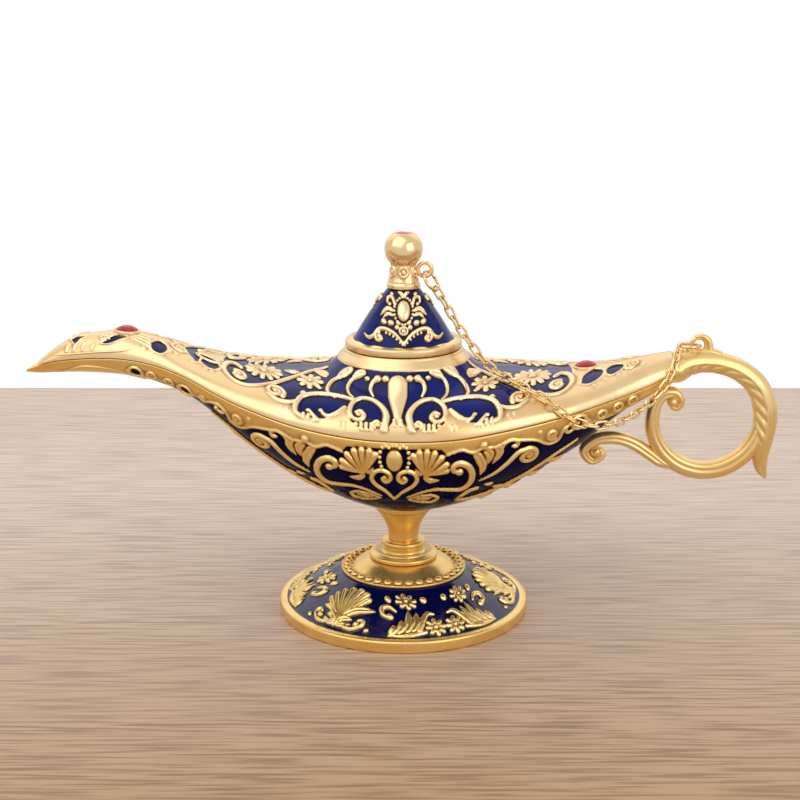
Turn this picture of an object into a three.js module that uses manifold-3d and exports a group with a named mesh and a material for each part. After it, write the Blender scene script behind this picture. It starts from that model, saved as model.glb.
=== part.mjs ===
// Genie lamp: a boat-shaped oil lamp on a turned foot, with a lift-off lid held by a chain.
// Millimetres. +Z is up, the spout points to -X and the handle to +X.
// The origin is the middle of the foot, where it stands on the table.
import * as THREE from "three";
import { mergeVertices } from "three/addons/utils/BufferGeometryUtils.js";
import Module from "manifold-3d";

const wasm = await Module();
wasm.setup();

// Fits between the pieces
const seatGap = 0.1;
const lidGap = 0.3;
const seamGap = 0.3;
const borePlay = 0.3;
const stonePlay = 0.1;
const threadPlay = 0.1;
const castGap = 0.3;

// How finely round work is divided
const turnedFacets = 32;
const smallFacets = 20;
const hiddenFacets = 12;
const sectionSteps = 10;

// Foot: a hollow bell with a rounded gold rim
const footRadius = 37.3;
const footRimHeight = 3.6;
const footRimProud = 1.9;
const footTopRadius = 19;
const footHeight = 12.3;
const footWall = 1.6;
const footRimRound = 0.7;

// Beaded dome on top of the foot
const domeRadius = 18.7;
const domeLipHeight = 0.7;
const domeTrackWidth = 3.2;
const domeHeight = 3.3;
const domeLipRound = 0.4;

// Knop: a wide ring, a short neck and a narrow ring, turned in one piece
const knopRadius = 10.3;
const knopRingHeight = 1.7;
const knopNeckRadius = 5.9;
const knopNeckHeight = 2.1;
const knopCollarRadius = 6.7;
const knopCollarHeight = 1.9;
const knopRound = 0.8;
const knopCollarRound = 0.6;
const knopNeckFillet = 0.3;

// Stem: a trumpet that carries the body
const stemHeight = 9.6;
const stemNeckRadius = 4.5;
const stemTopRadius = 8.5;
const stemFootFlare = 0.3;

// Tie bolt through foot, dome, knop and stem
const boltRadius = 2;
const boltHeadRadius = 3.6;
const boltHeadHeight = 2.2;
const washerRadius = 5;
const washerThickness = 0.8;
const nutAcrossCorners = 8;
const nutHeight = 3.2;
const boltRunout = 1.5;

// Body: lines of the hull. Heights are above the stem seat.
const bodyWall = 1.5;
const bossRadius = 8.8;
const bossHeight = 3.2;
const upperLipX = -106;
const hullLines = [
  { x: -110, beam: 1.0, rim: 42.4, ridge: 42.8, keel: 41.8 },
  { x: -106, beam: 3.1, rim: 44.1, ridge: 44.8, keel: 41.6 },
  { x: -101, beam: 4.7, rim: 45.6, ridge: 48.6, keel: 41.8 },
  { x: -95, beam: 6.0, rim: 46.5, ridge: 52.0, keel: 42.0 },
  { x: -88, beam: 7.2, rim: 47.1, ridge: 53.0, keel: 41.8 },
  { x: -80, beam: 8.3, rim: 47.0, ridge: 53.2, keel: 41.0 },
  { x: -71, beam: 10.8, rim: 45.8, ridge: 51.2, keel: 38.6 },
  { x: -62, beam: 14.6, rim: 43.3, ridge: 47.8, keel: 34.9 },
  { x: -53, beam: 19.3, rim: 39.6, ridge: 45.3, keel: 28.4 },
  { x: -44, beam: 24.0, rim: 36.6, ridge: 43.7, keel: 20.9 },
  { x: -30, beam: 29.6, rim: 33.0, ridge: 43.0, keel: 11.3 },
  { x: -15, beam: 33.0, rim: 30.7, ridge: 43.2, keel: 3.7 },
  { x: 0, beam: 34.0, rim: 29.8, ridge: 43.4, keel: 0.4 },
  { x: 15, beam: 33.0, rim: 30.2, ridge: 43.2, keel: 2.6 },
  { x: 30, beam: 29.4, rim: 32.0, ridge: 42.7, keel: 8.1 },
  { x: 44, beam: 24.0, rim: 34.0, ridge: 42.3, keel: 15.6 },
  { x: 53, beam: 19.0, rim: 35.5, ridge: 42.6, keel: 21.4 },
  { x: 62, beam: 13.6, rim: 37.2, ridge: 43.8, keel: 28.6 },
  { x: 70, beam: 9.4, rim: 39.2, ridge: 45.6, keel: 34.2 },
  { x: 78, beam: 6.4, rim: 42.2, ridge: 47.2, keel: 38.4 },
];
const endSpacing = 7;
const middleSpacing = 4.5;
const middleReach = 27;

// Collar around the filling mouth
const collarBaseRadius = 19.4;
const collarBaseHeight = 45.9;
const collarTopRadius = 17;
const collarHeight = 3.3;
const mouthRadius = 14.6;
const skirtSlope = 1.4;
const skirtBlend = 3;
const collarRoot = 2.4;
const collarLip = 1;

// Lid: a hollow cone with a flange and a locating spigot
const lidFlangeRadius = 16.95;
const lidFlangeHeight = 2.1;
const lidConeRadius = 14.9;
const lidConeHeight = 14.8;
const lidTopRadius = 5;
const lidConeBulge = 0.5;
const lidWall = 1.6;
const lidBossHeight = 3;
const spigotPlay = 0.3;
const spigotWall = 1.7;
const spigotDepth = 3.5;

// Finial: disc, tapered neck and ball, with an eyelet for the chain
const finialDiscRadius = 4.9;
const finialDiscHeight = 1.7;
const finialNeckBase = 4.5;
const finialNeckTop = 3.6;
const finialBallRadius = 5.5;
const finialBallHeight = 11.1;
const eyeletReach = 6.1;
const eyeletHeight = 5.2;
const eyeletMeanRadius = 1.95;
const eyeletBar = 0.6;
const lidScrewRadius = 1.4;
const lidScrewHeadRadius = 2.7;
const lidScrewHeadHeight = 1.6;
const lidScrewEngagement = 4.2;

// Red stones, all alike
const stoneRadius = 3;
const stoneCrown = 1.2;
const stoneGirdle = 0.3;
const stoneFacets = 10;
const bezelWidth = 0.75;
const bezelProud = 0.7;
const pocketDepth = 0.6;
const spoutStoneX = -80.3;
const rearStoneX = 53.3;

// Cast ornament: low pads that are rooted in the skin below them
const padRise = 0.8;
const padRoot = 0.5;
const scrollHalfWidth = 1;
const ornamentMiddleX = -1.7;
const dropHalfWidth = 2.8;
const dropReach = [7.6, 12, 18.5, 21.4];
const scrollLine = [[2.9, 4.6], [3.6, 10], [7.4, 14], [11.6, 12.4], [12.4, 8.6]];
const palmetteCount = 3;
const palmetteTurn = -127;
const palmetteBase = 4;
const palmetteMiddle = 10.5;
const palmetteEdge = [[-6.6, 10.2], [-4, 14.8], [0.4, 16.8], [4.8, 15], [7.4, 9.8]];

// Handle: arm, finger ring and bracket. Setbacks are behind the body.
const armCrownRise = 1.7;
const fingerSetback = 11.3;
const fingerDrop = 17;
const fingerMeanRadius = 16.1;
const scrollEyeRadius = 1.35;
const tenonLength = 4.5;
const tenonHalfHeight = 1.8;
const tenonHalfDepth = 3.2;
const limbFacets = 8;
const lugSetback = 8;
const lugRise = 5;
const lugHoleRadius = 1.5;
const lugRadius = 2.8;
const lugThickness = 1.3;

// Chain
const linkInnerLength = 3.5;
const linkInnerWidth = 1.35;
const linkWire = 0.7;
const linkPlay = 0.12;
const linkWireFacets = 5;
const linkBendSteps = 4;
const ringMeanRadius = 3.2;
const ringWire = 0.9;
const ringPlay = 0.3;
const ringSag = 0.5;
const lugSag = 0.1;
const chainLift = 2;
const chainLiftAtCollar = 4;

// Colours
const gold = new THREE.MeshStandardMaterial({ color: 0xd9a95c, metalness: 1, roughness: 0.3 });
const paleGold = new THREE.MeshStandardMaterial({ color: 0xe0b873, metalness: 1, roughness: 0.25 });
const enamel = new THREE.MeshStandardMaterial({ color: 0x141f5e, metalness: 0.2, roughness: 0.2 });
const ruby = new THREE.MeshStandardMaterial({ color: 0x9a1119, metalness: 0, roughness: 0.05 });
const steel = new THREE.MeshStandardMaterial({ color: 0x9a9da1, metalness: 1, roughness: 0.4 });

const lamp = new THREE.Group();
lamp.name = "genie_lamp";

function addMesh(parent, name, geometry, material) {
  const mesh = new THREE.Mesh(geometry, material);
  mesh.name = name;
  parent.add(mesh);
  return mesh;
}

// Turned piece about the Z axis from [radius, height] points
function turned(points, facets) {
  const profile = points.map(([radius, height]) => new THREE.Vector2(radius, height));
  const lathe = new THREE.LatheGeometry(profile, facets).rotateX(Math.PI / 2);
  return tidy(lathe);
}

// Skin over rings of points that all have the same even count
function loft(rings, closed = false) {
  const count = rings[0].length;
  const positions = rings.flat().flatMap((point) => [point.x, point.y, point.z]);
  const indices = [];
  const spans = closed ? rings.length : rings.length - 1;
  for (let i = 0; i < spans; i++) {
    const here = i * count;
    const next = ((i + 1) % rings.length) * count;
    for (let j = 0; j < count; j++) {
      const k = (j + 1) % count;
      indices.push(here + j, here + k, next + k, here + j, next + k, next + j);
    }
  }
  if (!closed) {
    const last = (rings.length - 1) * count;
    for (let j = 0; j < count / 2 - 1; j++) {
      const k = count - 1 - j;
      indices.push(j, k, k - 1, j, k - 1, j + 1);
      indices.push(last + j, last + k - 1, last + k, last + j, last + j + 1, last + k - 1);
    }
  }
  const geometry = new THREE.BufferGeometry();
  geometry.setAttribute("position", new THREE.Float32BufferAttribute(positions, 3));
  geometry.setIndex(facesOut(positions, indices));
  geometry.computeVertexNormals();
  return geometry;
}

// Turns every face round if the skin encloses a negative volume
function facesOut(positions, indices) {
  const corner = (n) => new THREE.Vector3().fromArray(positions, 3 * indices[n]);
  let volume = 0;
  for (let n = 0; n < indices.length; n += 3) {
    volume += corner(n).dot(corner(n + 1).cross(corner(n + 2)));
  }
  return volume < 0 ? indices.slice().reverse() : indices;
}

// Closed skin with shared corners, without the empty faces that meet on an axis
function tidy(geometry) {
  const bare = geometry.clone();
  bare.deleteAttribute("normal");
  bare.deleteAttribute("uv");
  const welded = mergeVertices(bare, 1e-4);
  const corners = Array.from(welded.index.array);
  const indices = [];
  for (let n = 0; n < corners.length; n += 3) {
    const face = corners.slice(n, n + 3);
    if (new Set(face).size === 3) indices.push(...face);
  }
  welded.setIndex(facesOut(welded.attributes.position.array, indices));
  welded.computeVertexNormals();
  return welded;
}

// Solid for cutting and joining
function solid(geometry) {
  const welded = tidy(geometry);
  const vertProperties = new Float32Array(welded.attributes.position.array);
  const triVerts = new Uint32Array(welded.index.array);
  return new wasm.Manifold(new wasm.Mesh({ numProp: 3, vertProperties, triVerts }));
}

function meshOf(shape) {
  const mesh = shape.getMesh();
  const geometry = new THREE.BufferGeometry();
  geometry.setAttribute("position", new THREE.Float32BufferAttribute(mesh.vertProperties, 3));
  geometry.setIndex(Array.from(mesh.triVerts));
  geometry.computeVertexNormals();
  return geometry;
}

function upright(radius, bottom, top, facets) {
  const height = top - bottom;
  const cylinder = new THREE.CylinderGeometry(radius, radius, height, facets);
  return cylinder.rotateX(Math.PI / 2).translate(0, 0, bottom + height / 2);
}

// Low convex pad: an outline rooted below a skin and a smaller crown above it.
// The place function gives the point of the skin at two coordinates and a height.
function pad(place, outline, crown) {
  const root = outline.map(([across, up]) => place(across, up, -padRoot));
  const top = crown.map(([across, up]) => place(across, up, padRise));
  return wasm.Manifold.hull([...root, ...top].map((point) => point.toArray()));
}

// One stretch of a scroll
function scrollPiece(place, from, to) {
  const along = new THREE.Vector2(to[0] - from[0], to[1] - from[1]);
  const side = new THREE.Vector2(-along.y, along.x).setLength(scrollHalfWidth);
  const edges = (share) => [from, to].flatMap(([across, up]) => [
    [across + share * side.x, up + share * side.y],
    [across - share * side.x, up - share * side.y],
  ]);
  return pad(place, edges(1), edges(0.4));
}

// Foot and turned stack
const boreRadius = boltRadius + borePlay;
const footSlopeRadius = footRadius - footRimProud;
const footInnerRadius = footSlopeRadius - footWall;
const footRun = footSlopeRadius - footTopRadius;
const footRise = footHeight - footRimHeight;

// The enamel slope swells a little between the rim and the top plate
function footSlope(share, inset) {
  const swell = 0.06 * footRise * Math.sin(Math.PI * share);
  return [footSlopeRadius - footRun * share - inset, footRimHeight + footRise * share + swell - inset];
}

const slopeShares = [0.3, 0.65];
const footProfile = [
  [boreRadius, footHeight],
  [boreRadius, footHeight - footWall],
  [footTopRadius - footWall, footHeight - footWall],
  ...slopeShares.slice().reverse().map((share) => footSlope(share, footWall)),
  [footInnerRadius, footRimHeight - footWall],
  [footInnerRadius, 0],
  [footRadius - footRimRound, 0],
  [footRadius, 0.3 * footRimHeight],
  [footRadius, 0.6 * footRimHeight],
  [footRadius - footRimRound, 0.95 * footRimHeight],
  [footSlopeRadius, footRimHeight],
  ...slopeShares.map((share) => footSlope(share, 0)),
  [footTopRadius, footHeight],
  [boreRadius, footHeight],
];

// Point of the foot's slope: distance round from a direction, distance up the slope and height above it
const footSlant = Math.hypot(footRun, footRise);
function onFoot(degrees) {
  return (across, up, rise) => {
    const [radius, height] = footSlope(up / footSlant, 0);
    const turn = THREE.MathUtils.degToRad(degrees) + across / radius;
    const reach = radius + (rise * footRise) / footSlant;
    const level = height + (rise * footRun) / footSlant;
    return new THREE.Vector3(reach * Math.cos(turn), reach * Math.sin(turn), level);
  };
}

// Palmettes: fans that open up the slope
let footShell = solid(turned(footProfile, turnedFacets));
const palmetteRoot = [[0, palmetteBase], ...palmetteEdge];
const palmetteRim = palmetteRoot.map(([across, up]) => [
  0.8 * across,
  palmetteMiddle + 0.8 * (up - palmetteMiddle),
]);
const palmetteCrown = [[0, palmetteMiddle], ...palmetteRim];
for (let i = 0; i < palmetteCount; i++) {
  const place = onFoot(palmetteTurn + (360 * i) / palmetteCount);
  footShell = footShell.add(pad(place, palmetteRoot, palmetteCrown));
}
addMesh(lamp, "foot_shell", meshOf(footShell), enamel);

const domeZ = footHeight + seatGap;
const domeTrackRadius = domeRadius - domeTrackWidth;
const domeRise = domeHeight - domeLipHeight;
const domeCrownRadius = knopRadius - knopRound;
const domeCrown = [0.35, 0.7].map((share) => [
  domeTrackRadius - (domeTrackRadius - domeCrownRadius) * share,
  domeZ + domeLipHeight + domeRise * Math.sin((Math.PI / 2) * share),
]);
const domeProfile = [
  [boreRadius, domeZ],
  [domeRadius, domeZ],
  [domeRadius, domeZ + 0.6 * domeLipHeight],
  [domeRadius - domeLipRound, domeZ + domeLipHeight],
  [domeTrackRadius, domeZ + domeLipHeight],
  ...domeCrown,
  [domeCrownRadius, domeZ + domeHeight],
  [boreRadius, domeZ + domeHeight],
  [boreRadius, domeZ],
];
addMesh(lamp, "foot_dome", turned(domeProfile, turnedFacets), gold);

const knopZ = domeZ + domeHeight + seatGap;
const knopNeckZ = knopZ + knopRingHeight;
const knopCollarZ = knopNeckZ + knopNeckHeight;
const knopTopZ = knopCollarZ + knopCollarHeight;
const knopProfile = [
  [boreRadius, knopZ],
  [knopRadius - knopRound, knopZ],
  [knopRadius, knopZ + 0.5 * knopRingHeight],
  [knopRadius - knopRound, knopNeckZ],
  [knopNeckRadius, knopNeckZ + knopNeckFillet],
  [knopNeckRadius, knopCollarZ - knopNeckFillet],
  [knopCollarRadius - knopCollarRound, knopCollarZ],
  [knopCollarRadius, knopCollarZ + 0.5 * knopCollarHeight],
  [knopCollarRadius - knopCollarRound, knopTopZ],
  [boreRadius, knopTopZ],
  [boreRadius, knopZ],
];
addMesh(lamp, "stem_knop", turned(knopProfile, smallFacets), gold);

const stemZ = knopTopZ + seatGap;
const stemTopZ = stemZ + stemHeight;
const stemFlare = [0.3, 0.5, 0.7, 0.85].map((share) => [
  stemNeckRadius + (stemTopRadius - stemNeckRadius) * share ** 2.2,
  stemZ + stemHeight * share,
]);
const stemProfile = [
  [boreRadius, stemZ],
  [stemNeckRadius + stemFootFlare, stemZ],
  [stemNeckRadius, stemZ + 0.1 * stemHeight],
  ...stemFlare,
  [stemTopRadius, stemTopZ],
  [boreRadius, stemTopZ],
  [boreRadius, stemZ],
];
addMesh(lamp, "stem", turned(stemProfile, smallFacets), paleGold);

const washerTopZ = footHeight - footWall - seatGap;
const washerZ = washerTopZ - washerThickness;
const washerProfile = [
  [boreRadius, washerZ],
  [washerRadius, washerZ],
  [washerRadius, washerTopZ],
  [boreRadius, washerTopZ],
  [boreRadius, washerZ],
];
addMesh(lamp, "tie_washer", turned(washerProfile, hiddenFacets), steel);

const bodyZ = stemTopZ + seatGap;
const nutZ = bodyZ + bossHeight + seatGap;
const boltTopZ = nutZ + nutHeight + boltRunout;
const headTopZ = washerZ - seatGap;
const boltProfile = [
  [0, headTopZ - boltHeadHeight],
  [0.7 * boltHeadRadius, headTopZ - boltHeadHeight],
  [boltHeadRadius, headTopZ - 0.5 * boltHeadHeight],
  [boltHeadRadius, headTopZ],
  [boltRadius, headTopZ],
  [boltRadius, boltTopZ - 0.4],
  [boltRadius - 0.4, boltTopZ],
  [0, boltTopZ],
];
addMesh(lamp, "tie_bolt", turned(boltProfile, hiddenFacets), steel);

const nutBlank = solid(upright(nutAcrossCorners / 2, nutZ, nutZ + nutHeight, 6));
const nutBore = solid(upright(boltRadius + threadPlay, nutZ - nutHeight, nutZ + 2 * nutHeight, 16));
addMesh(lamp, "tie_nut", meshOf(nutBlank.subtract(nutBore)), steel);

// Smooth line through the stations of the hull
function hullLine(key) {
  const last = hullLines.length - 1;
  const slope = (i) => {
    const before = hullLines[Math.max(i - 1, 0)];
    const after = hullLines[Math.min(i + 1, last)];
    return (after[key] - before[key]) / (after.x - before.x);
  };
  return (x) => {
    const found = hullLines.findIndex((station) => station.x > x);
    const i = found < 0 ? last - 1 : Math.max(found - 1, 0);
    const a = hullLines[i];
    const b = hullLines[i + 1];
    const span = b.x - a.x;
    const t = THREE.MathUtils.clamp((x - a.x) / span, 0, 1);
    const u = 1 - t;
    const ends = (1 + 2 * t) * u * u * a[key] + t * t * (3 - 2 * t) * b[key];
    return ends + t * u * span * (u * slope(i) - t * slope(i + 1));
  };
}

const beamAt = hullLine("beam");
const rimAt = hullLine("rim");
const ridgeAt = hullLine("ridge");
const keelAt = hullLine("keel");
const wallAt = (x) => Math.min(bodyWall, 0.4 * beamAt(x));

// Roof of the body: an arch over the hull that rises in a skirt to the collar
function roofHeight(x, y, inset) {
  const beam = beamAt(x) - inset;
  const arc = Math.sqrt(Math.max(1 - (y / beam) ** 2, 0));
  const arch = rimAt(x) + (ridgeAt(x) - inset - rimAt(x)) * arc;
  const out = Math.max(Math.hypot(x, y) - collarBaseRadius, 0);
  const skirt = collarBaseHeight - skirtSlope * (out + 1.2 * inset);
  return (arch + skirt + Math.hypot(arch - skirt, skirtBlend * arc)) / 2;
}

// Cross-section of a shell: outer line across, then inner line back
function shellSection(x, heightAt) {
  const wall = wallAt(x);
  const line = (inset) => {
    const points = [];
    for (let j = 0; j <= sectionSteps; j++) {
      const y = (beamAt(x) - inset) * Math.cos((Math.PI * j) / sectionSteps);
      points.push(new THREE.Vector3(x, y, heightAt(x, y, inset)));
    }
    return points;
  };
  return [...line(0), ...line(wall).reverse()];
}

// Stations along the hull, closer together under the collar
function hullStations(from, to) {
  const stations = [];
  let x = from;
  while (x < to - 0.4 * middleSpacing) {
    stations.push(x);
    x += Math.abs(x) < middleReach ? middleSpacing : endSpacing;
  }
  return [...stations, to];
}

const rearX = hullLines[hullLines.length - 1].x;
const tipX = hullLines[0].x;

const body = new THREE.Group();
body.position.z = bodyZ;
lamp.add(body);

// Lower half of the body, with a flat boss for the stem
function hullHeight(x, y, inset) {
  const arc = Math.sqrt(Math.max(1 - (y / (beamAt(x) - inset)) ** 2, 0));
  const depth = rimAt(x) - keelAt(x) - inset;
  return rimAt(x) - seamGap / 2 - depth * arc;
}

const lowerRings = hullStations(tipX, rearX).map((x) => shellSection(x, hullHeight));
const bossPad = solid(upright(bossRadius, 0, bossHeight, smallFacets));
const bossBore = solid(upright(boreRadius, -bossHeight, 2 * bossHeight, 16));
const underBoss = solid(upright(2 * bossRadius, -bossRadius, 0, smallFacets));
const lowerShell = solid(loft(lowerRings)).add(bossPad).subtract(bossBore).subtract(underBoss);
addMesh(body, "lower_shell", meshOf(lowerShell), enamel);

// Upper half of the body, with the collar, the mouth and two stone settings
function roofWithSeam(x, y, inset) {
  return roofHeight(x, y, inset) + seamGap / 2;
}

const collarZ = collarBaseHeight + collarHeight;
const collarProfile = [
  [mouthRadius - collarLip, collarBaseHeight - collarRoot],
  [collarBaseRadius - collarLip, collarBaseHeight - collarRoot],
  [collarBaseRadius, collarBaseHeight + 0.2],
  [collarBaseRadius - 0.3, collarBaseHeight + 0.9],
  [collarTopRadius + 0.4, collarZ - 0.7],
  [collarTopRadius, collarZ],
  [mouthRadius - collarLip, collarZ],
  [mouthRadius - collarLip, collarBaseHeight - collarRoot],
];

// Upright plug on the ridge at x, leaning with the ridge
function ridgePlug(x, radius, bottom, top) {
  const lean = -Math.atan((ridgeAt(x + 1) - ridgeAt(x - 1)) / 2);
  return upright(radius, bottom, top, smallFacets).rotateY(lean).translate(x, 0, ridgeAt(x));
}

let upperShell = solid(loft(hullStations(upperLipX, rearX).map((x) => shellSection(x, roofWithSeam))));
upperShell = upperShell.add(solid(turned(collarProfile, turnedFacets)));
const mouth = upright(mouthRadius, collarBaseHeight - collarBaseRadius, collarZ + collarHeight, turnedFacets);
upperShell = upperShell.subtract(solid(mouth));
const pocketRadius = stoneRadius + stonePlay;
for (const x of [spoutStoneX, rearStoneX]) {
  const setting = ridgePlug(x, pocketRadius + bezelWidth, -bodyWall, bezelProud);
  const pocket = ridgePlug(x, pocketRadius, bezelProud - pocketDepth, bezelProud + 2);
  upperShell = upperShell.add(solid(setting)).subtract(solid(pocket));
}

// Point of the roof on one side: distance from the ornament's middle, distance up from the seam and height
function onRoof(side, end) {
  return (away, up, rise) => {
    const x = ornamentMiddleX + end * away;
    const steps = 60;
    const at = (j) => {
      const y = beamAt(x) * Math.cos((Math.PI * j) / (2 * steps));
      return new THREE.Vector3(x, y, roofWithSeam(x, y, 0));
    };
    let walked = 0;
    let j = 0;
    while (j < steps - 1 && walked < up) {
      walked += at(j).distanceTo(at(j + 1));
      j += 1;
    }
    const along = at(j + 1).sub(at(j - 1)).normalize();
    const point = at(j);
    point.y += rise * along.z;
    point.z -= rise * along.y;
    point.y *= side;
    return point;
  };
}

// A pointed drop between two C-scrolls on either side
for (const side of [-1, 1]) {
  const [low, waist, wide, high] = dropReach;
  const edge = (share) => [
    [0, low],
    [0.45 * share * dropHalfWidth, waist],
    [share * dropHalfWidth, wide],
    [0, wide + share * (high - wide)],
    [-share * dropHalfWidth, wide],
    [-0.45 * share * dropHalfWidth, waist],
  ];
  upperShell = upperShell.add(pad(onRoof(side, 1), edge(1), edge(0.6)));
  for (const end of [-1, 1]) {
    const place = onRoof(side, end);
    for (let i = 1; i < scrollLine.length; i++) {
      upperShell = upperShell.add(scrollPiece(place, scrollLine[i - 1], scrollLine[i]));
    }
  }
}
addMesh(body, "upper_shell", meshOf(upperShell), enamel);

// Faceted stone, lying on its flat back
const stoneProfile = [
  [0, 0],
  [0.8 * stoneRadius, 0],
  [stoneRadius, pocketDepth - stonePlay],
  [stoneRadius, pocketDepth - stonePlay + stoneGirdle],
  [0.8 * stoneRadius, pocketDepth + 0.5 * stoneCrown],
  [0.5 * stoneRadius, pocketDepth + stoneCrown],
  [0, pocketDepth + stoneCrown],
];
const stone = turned(stoneProfile, stoneFacets);

function addStone(name, x) {
  const mesh = addMesh(body, name, stone, ruby);
  const lean = -Math.atan((ridgeAt(x + 1) - ridgeAt(x - 1)) / 2);
  const floor = bezelProud - pocketDepth + stonePlay;
  mesh.rotation.y = lean;
  mesh.position.set(x + floor * Math.sin(lean), 0, ridgeAt(x) + floor * Math.cos(lean));
}

addStone("spout_stone", spoutStoneX);
addStone("rear_stone", rearStoneX);

// Limb of the handle: an oval section swept along points in the middle plane.
// Each point is [x, z, half thickness, half depth].
// The first section may face a given way.
function limb(points, steps, startAlong = null) {
  const path = new THREE.CatmullRomCurve3(points.map(([x, z]) => new THREE.Vector3(x, 0, z)));
  const size = new THREE.CatmullRomCurve3(points.map(([, , a, b]) => new THREE.Vector3(a, b, 0)));
  const rings = [];
  for (let i = 0; i <= steps; i++) {
    const at = path.getPoint(i / steps);
    const along = i === 0 && startAlong ? startAlong : path.getTangent(i / steps);
    const half = size.getPoint(i / steps);
    const ring = [];
    for (let j = 0; j < limbFacets; j++) {
      const turn = (2 * Math.PI * (j + 0.5)) / limbFacets;
      const side = half.x * Math.cos(turn);
      ring.push(new THREE.Vector3(at.x - along.z * side, half.y * Math.sin(turn), at.z + along.x * side));
    }
    rings.push(ring);
  }
  return solid(loft(rings));
}

const rootX = rearX + castGap;
const rootZ = (ridgeAt(rearX) + keelAt(rearX)) / 2;
const rootHalfHeight = (ridgeAt(rearX) - keelAt(rearX)) / 2;
const rootHalfDepth = beamAt(rearX);
const armCrownZ = rootZ + armCrownRise;
const fingerX = rearX + fingerSetback;
const fingerZ = armCrownZ - fingerDrop;

// Point of a limb on, or so far outside, the finger ring's mean circle
function onRing(degrees, outside, halfThickness, halfDepth) {
  const turn = THREE.MathUtils.degToRad(degrees);
  const radius = fingerMeanRadius + outside;
  return [fingerX + radius * Math.cos(turn), fingerZ + radius * Math.sin(turn), halfThickness, halfDepth];
}

// Point of a limb measured from the middle of the finger ring
function fromRing(x, z, halfThickness, halfDepth) {
  return [fingerX + x, fingerZ + z, halfThickness, halfDepth];
}

// The arm leaves the body, passes over the finger ring and ends in a leaf tip
const armPoints = [
  [rootX, rootZ, rootHalfHeight, rootHalfDepth],
  [rootX + 1.4, rootZ, rootHalfHeight, 0.96 * rootHalfDepth],
  [rootX + 4.1, armCrownZ - 0.6, 3.9, 4.8],
  [rootX + 8.2, armCrownZ, 3.3, 3.7],
  onRing(81, 0.7, 3.15, 3.3),
  onRing(57, 0.8, 3.2, 3.2),
  onRing(33, 1.2, 3.4, 3.2),
  onRing(9, 1.2, 3.6, 3.2),
  onRing(-8, 1.3, 3.5, 3.1),
  onRing(-24, 2.3, 3.0, 2.9),
  onRing(-36, 4.2, 2.4, 2.5),
  onRing(-43, 7.3, 1.7, 2.0),
  onRing(-45, 9.8, 0.6, 1.0),
];

// Finger ring: most of a circle, then a small scroll
const ringPoints = [
  onRing(-22, 0, 2.4, 2.4),
  onRing(-45, 0, 2.7, 2.6),
  onRing(-70, 0, 2.8, 2.7),
  onRing(-95, 0, 2.8, 2.7),
  onRing(-120, 0, 2.7, 2.7),
  onRing(-145, 0, 2.4, 2.6),
  onRing(-170, 0, 2.2, 2.5),
  fromRing(-14.9, 4.9, 2.0, 2.4),
  fromRing(-12.4, 7.5, 1.8, 2.3),
  fromRing(-9.2, 7.4, 1.4, 2.1),
  fromRing(-7.8, 5.0, 1.1, 1.9),
  fromRing(-8.9, 3.0, 0.9, 1.7),
];
const bracketPoints = [
  onRing(-120, 0.8, 1.3, 2.0),
  onRing(-134, 2.6, 1.7, 2.1),
  fromRing(-16.6, -10.9, 1.9, 2.2),
  fromRing(-20.7, -8.1, 2.0, 2.2),
  fromRing(-24.5, -6.5, 2.0, 2.2),
  fromRing(-28.5, -6.0, 2.0, 2.2),
  fromRing(-32.9, -7.0, 1.7, 2.2),
  fromRing(-35.8, -10.0, 1.4, 2.1),
  fromRing(-33.4, -13.0, 1.2, 2.0),
  fromRing(-30.5, -10.9, 0.9, 1.8),
];

// Bead in the middle of a scroll
function eye(x, z) {
  return solid(new THREE.SphereGeometry(scrollEyeRadius, 10, 6).translate(fingerX + x, 0, fingerZ + z));
}

// Chain lug: a curled leaf with a hole, standing on the arm
const lugHoleX = rearX + lugSetback;
const lugHoleZ = armCrownZ + lugRise;
const lugFootZ = armCrownZ + 0.4 * lugRadius;
const lugOutline = new THREE.Shape();
lugOutline.moveTo(lugHoleX - 0.9 * lugRadius, lugFootZ);
lugOutline.quadraticCurveTo(lugHoleX - lugRadius, lugHoleZ - lugRadius, lugHoleX - lugRadius, lugHoleZ);
lugOutline.absarc(lugHoleX, lugHoleZ, lugRadius, Math.PI, 0.35 * Math.PI, true);
lugOutline.quadraticCurveTo(
  lugHoleX + 1.3 * lugRadius,
  lugHoleZ + 0.4 * lugRadius,
  lugHoleX + 1.5 * lugRadius,
  lugFootZ,
);
const lugHole = new THREE.Path();
lugHole.absarc(lugHoleX, lugHoleZ, lugHoleRadius, 0, 2 * Math.PI, false);
lugOutline.holes.push(lugHole);
const lugPlate = { depth: lugThickness, bevelEnabled: false, curveSegments: 8 };
const lug = new THREE.ExtrudeGeometry(lugOutline, lugPlate);
lug.rotateX(Math.PI / 2).translate(0, lugThickness / 2, 0);

const tenonPoints = [
  [rootX - tenonLength, rootZ, tenonHalfHeight, tenonHalfDepth],
  [rootX + 0.5, rootZ, tenonHalfHeight, tenonHalfDepth],
];

const rearward = new THREE.Vector3(1, 0, 0);
let handle = limb(armPoints, 22, rearward);
handle = handle.add(limb(tenonPoints, 1));
handle = handle.add(limb(ringPoints, 26));
handle = handle.add(limb(bracketPoints, 18));
handle = handle.add(eye(-10.2, 4.9));
handle = handle.add(eye(-32.4, -10.1));
handle = handle.add(solid(lug));
addMesh(body, "handle", meshOf(handle), gold);

// Lid
const lid = new THREE.Group();
lid.position.z = bodyZ + collarZ + lidGap;
lamp.add(lid);

const lidTopZ = lidFlangeHeight + lidConeHeight;
const spigotRadius = mouthRadius - spigotPlay;
const spigotInner = spigotRadius - spigotWall;

// Side of the cone with a slight swell
function lidSide(share, inset) {
  const swell = lidConeBulge * Math.sin(Math.PI * share);
  const radius = lidConeRadius + (lidTopRadius - lidConeRadius) * share + swell - inset;
  return [radius, lidFlangeHeight + lidConeHeight * share];
}

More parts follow.
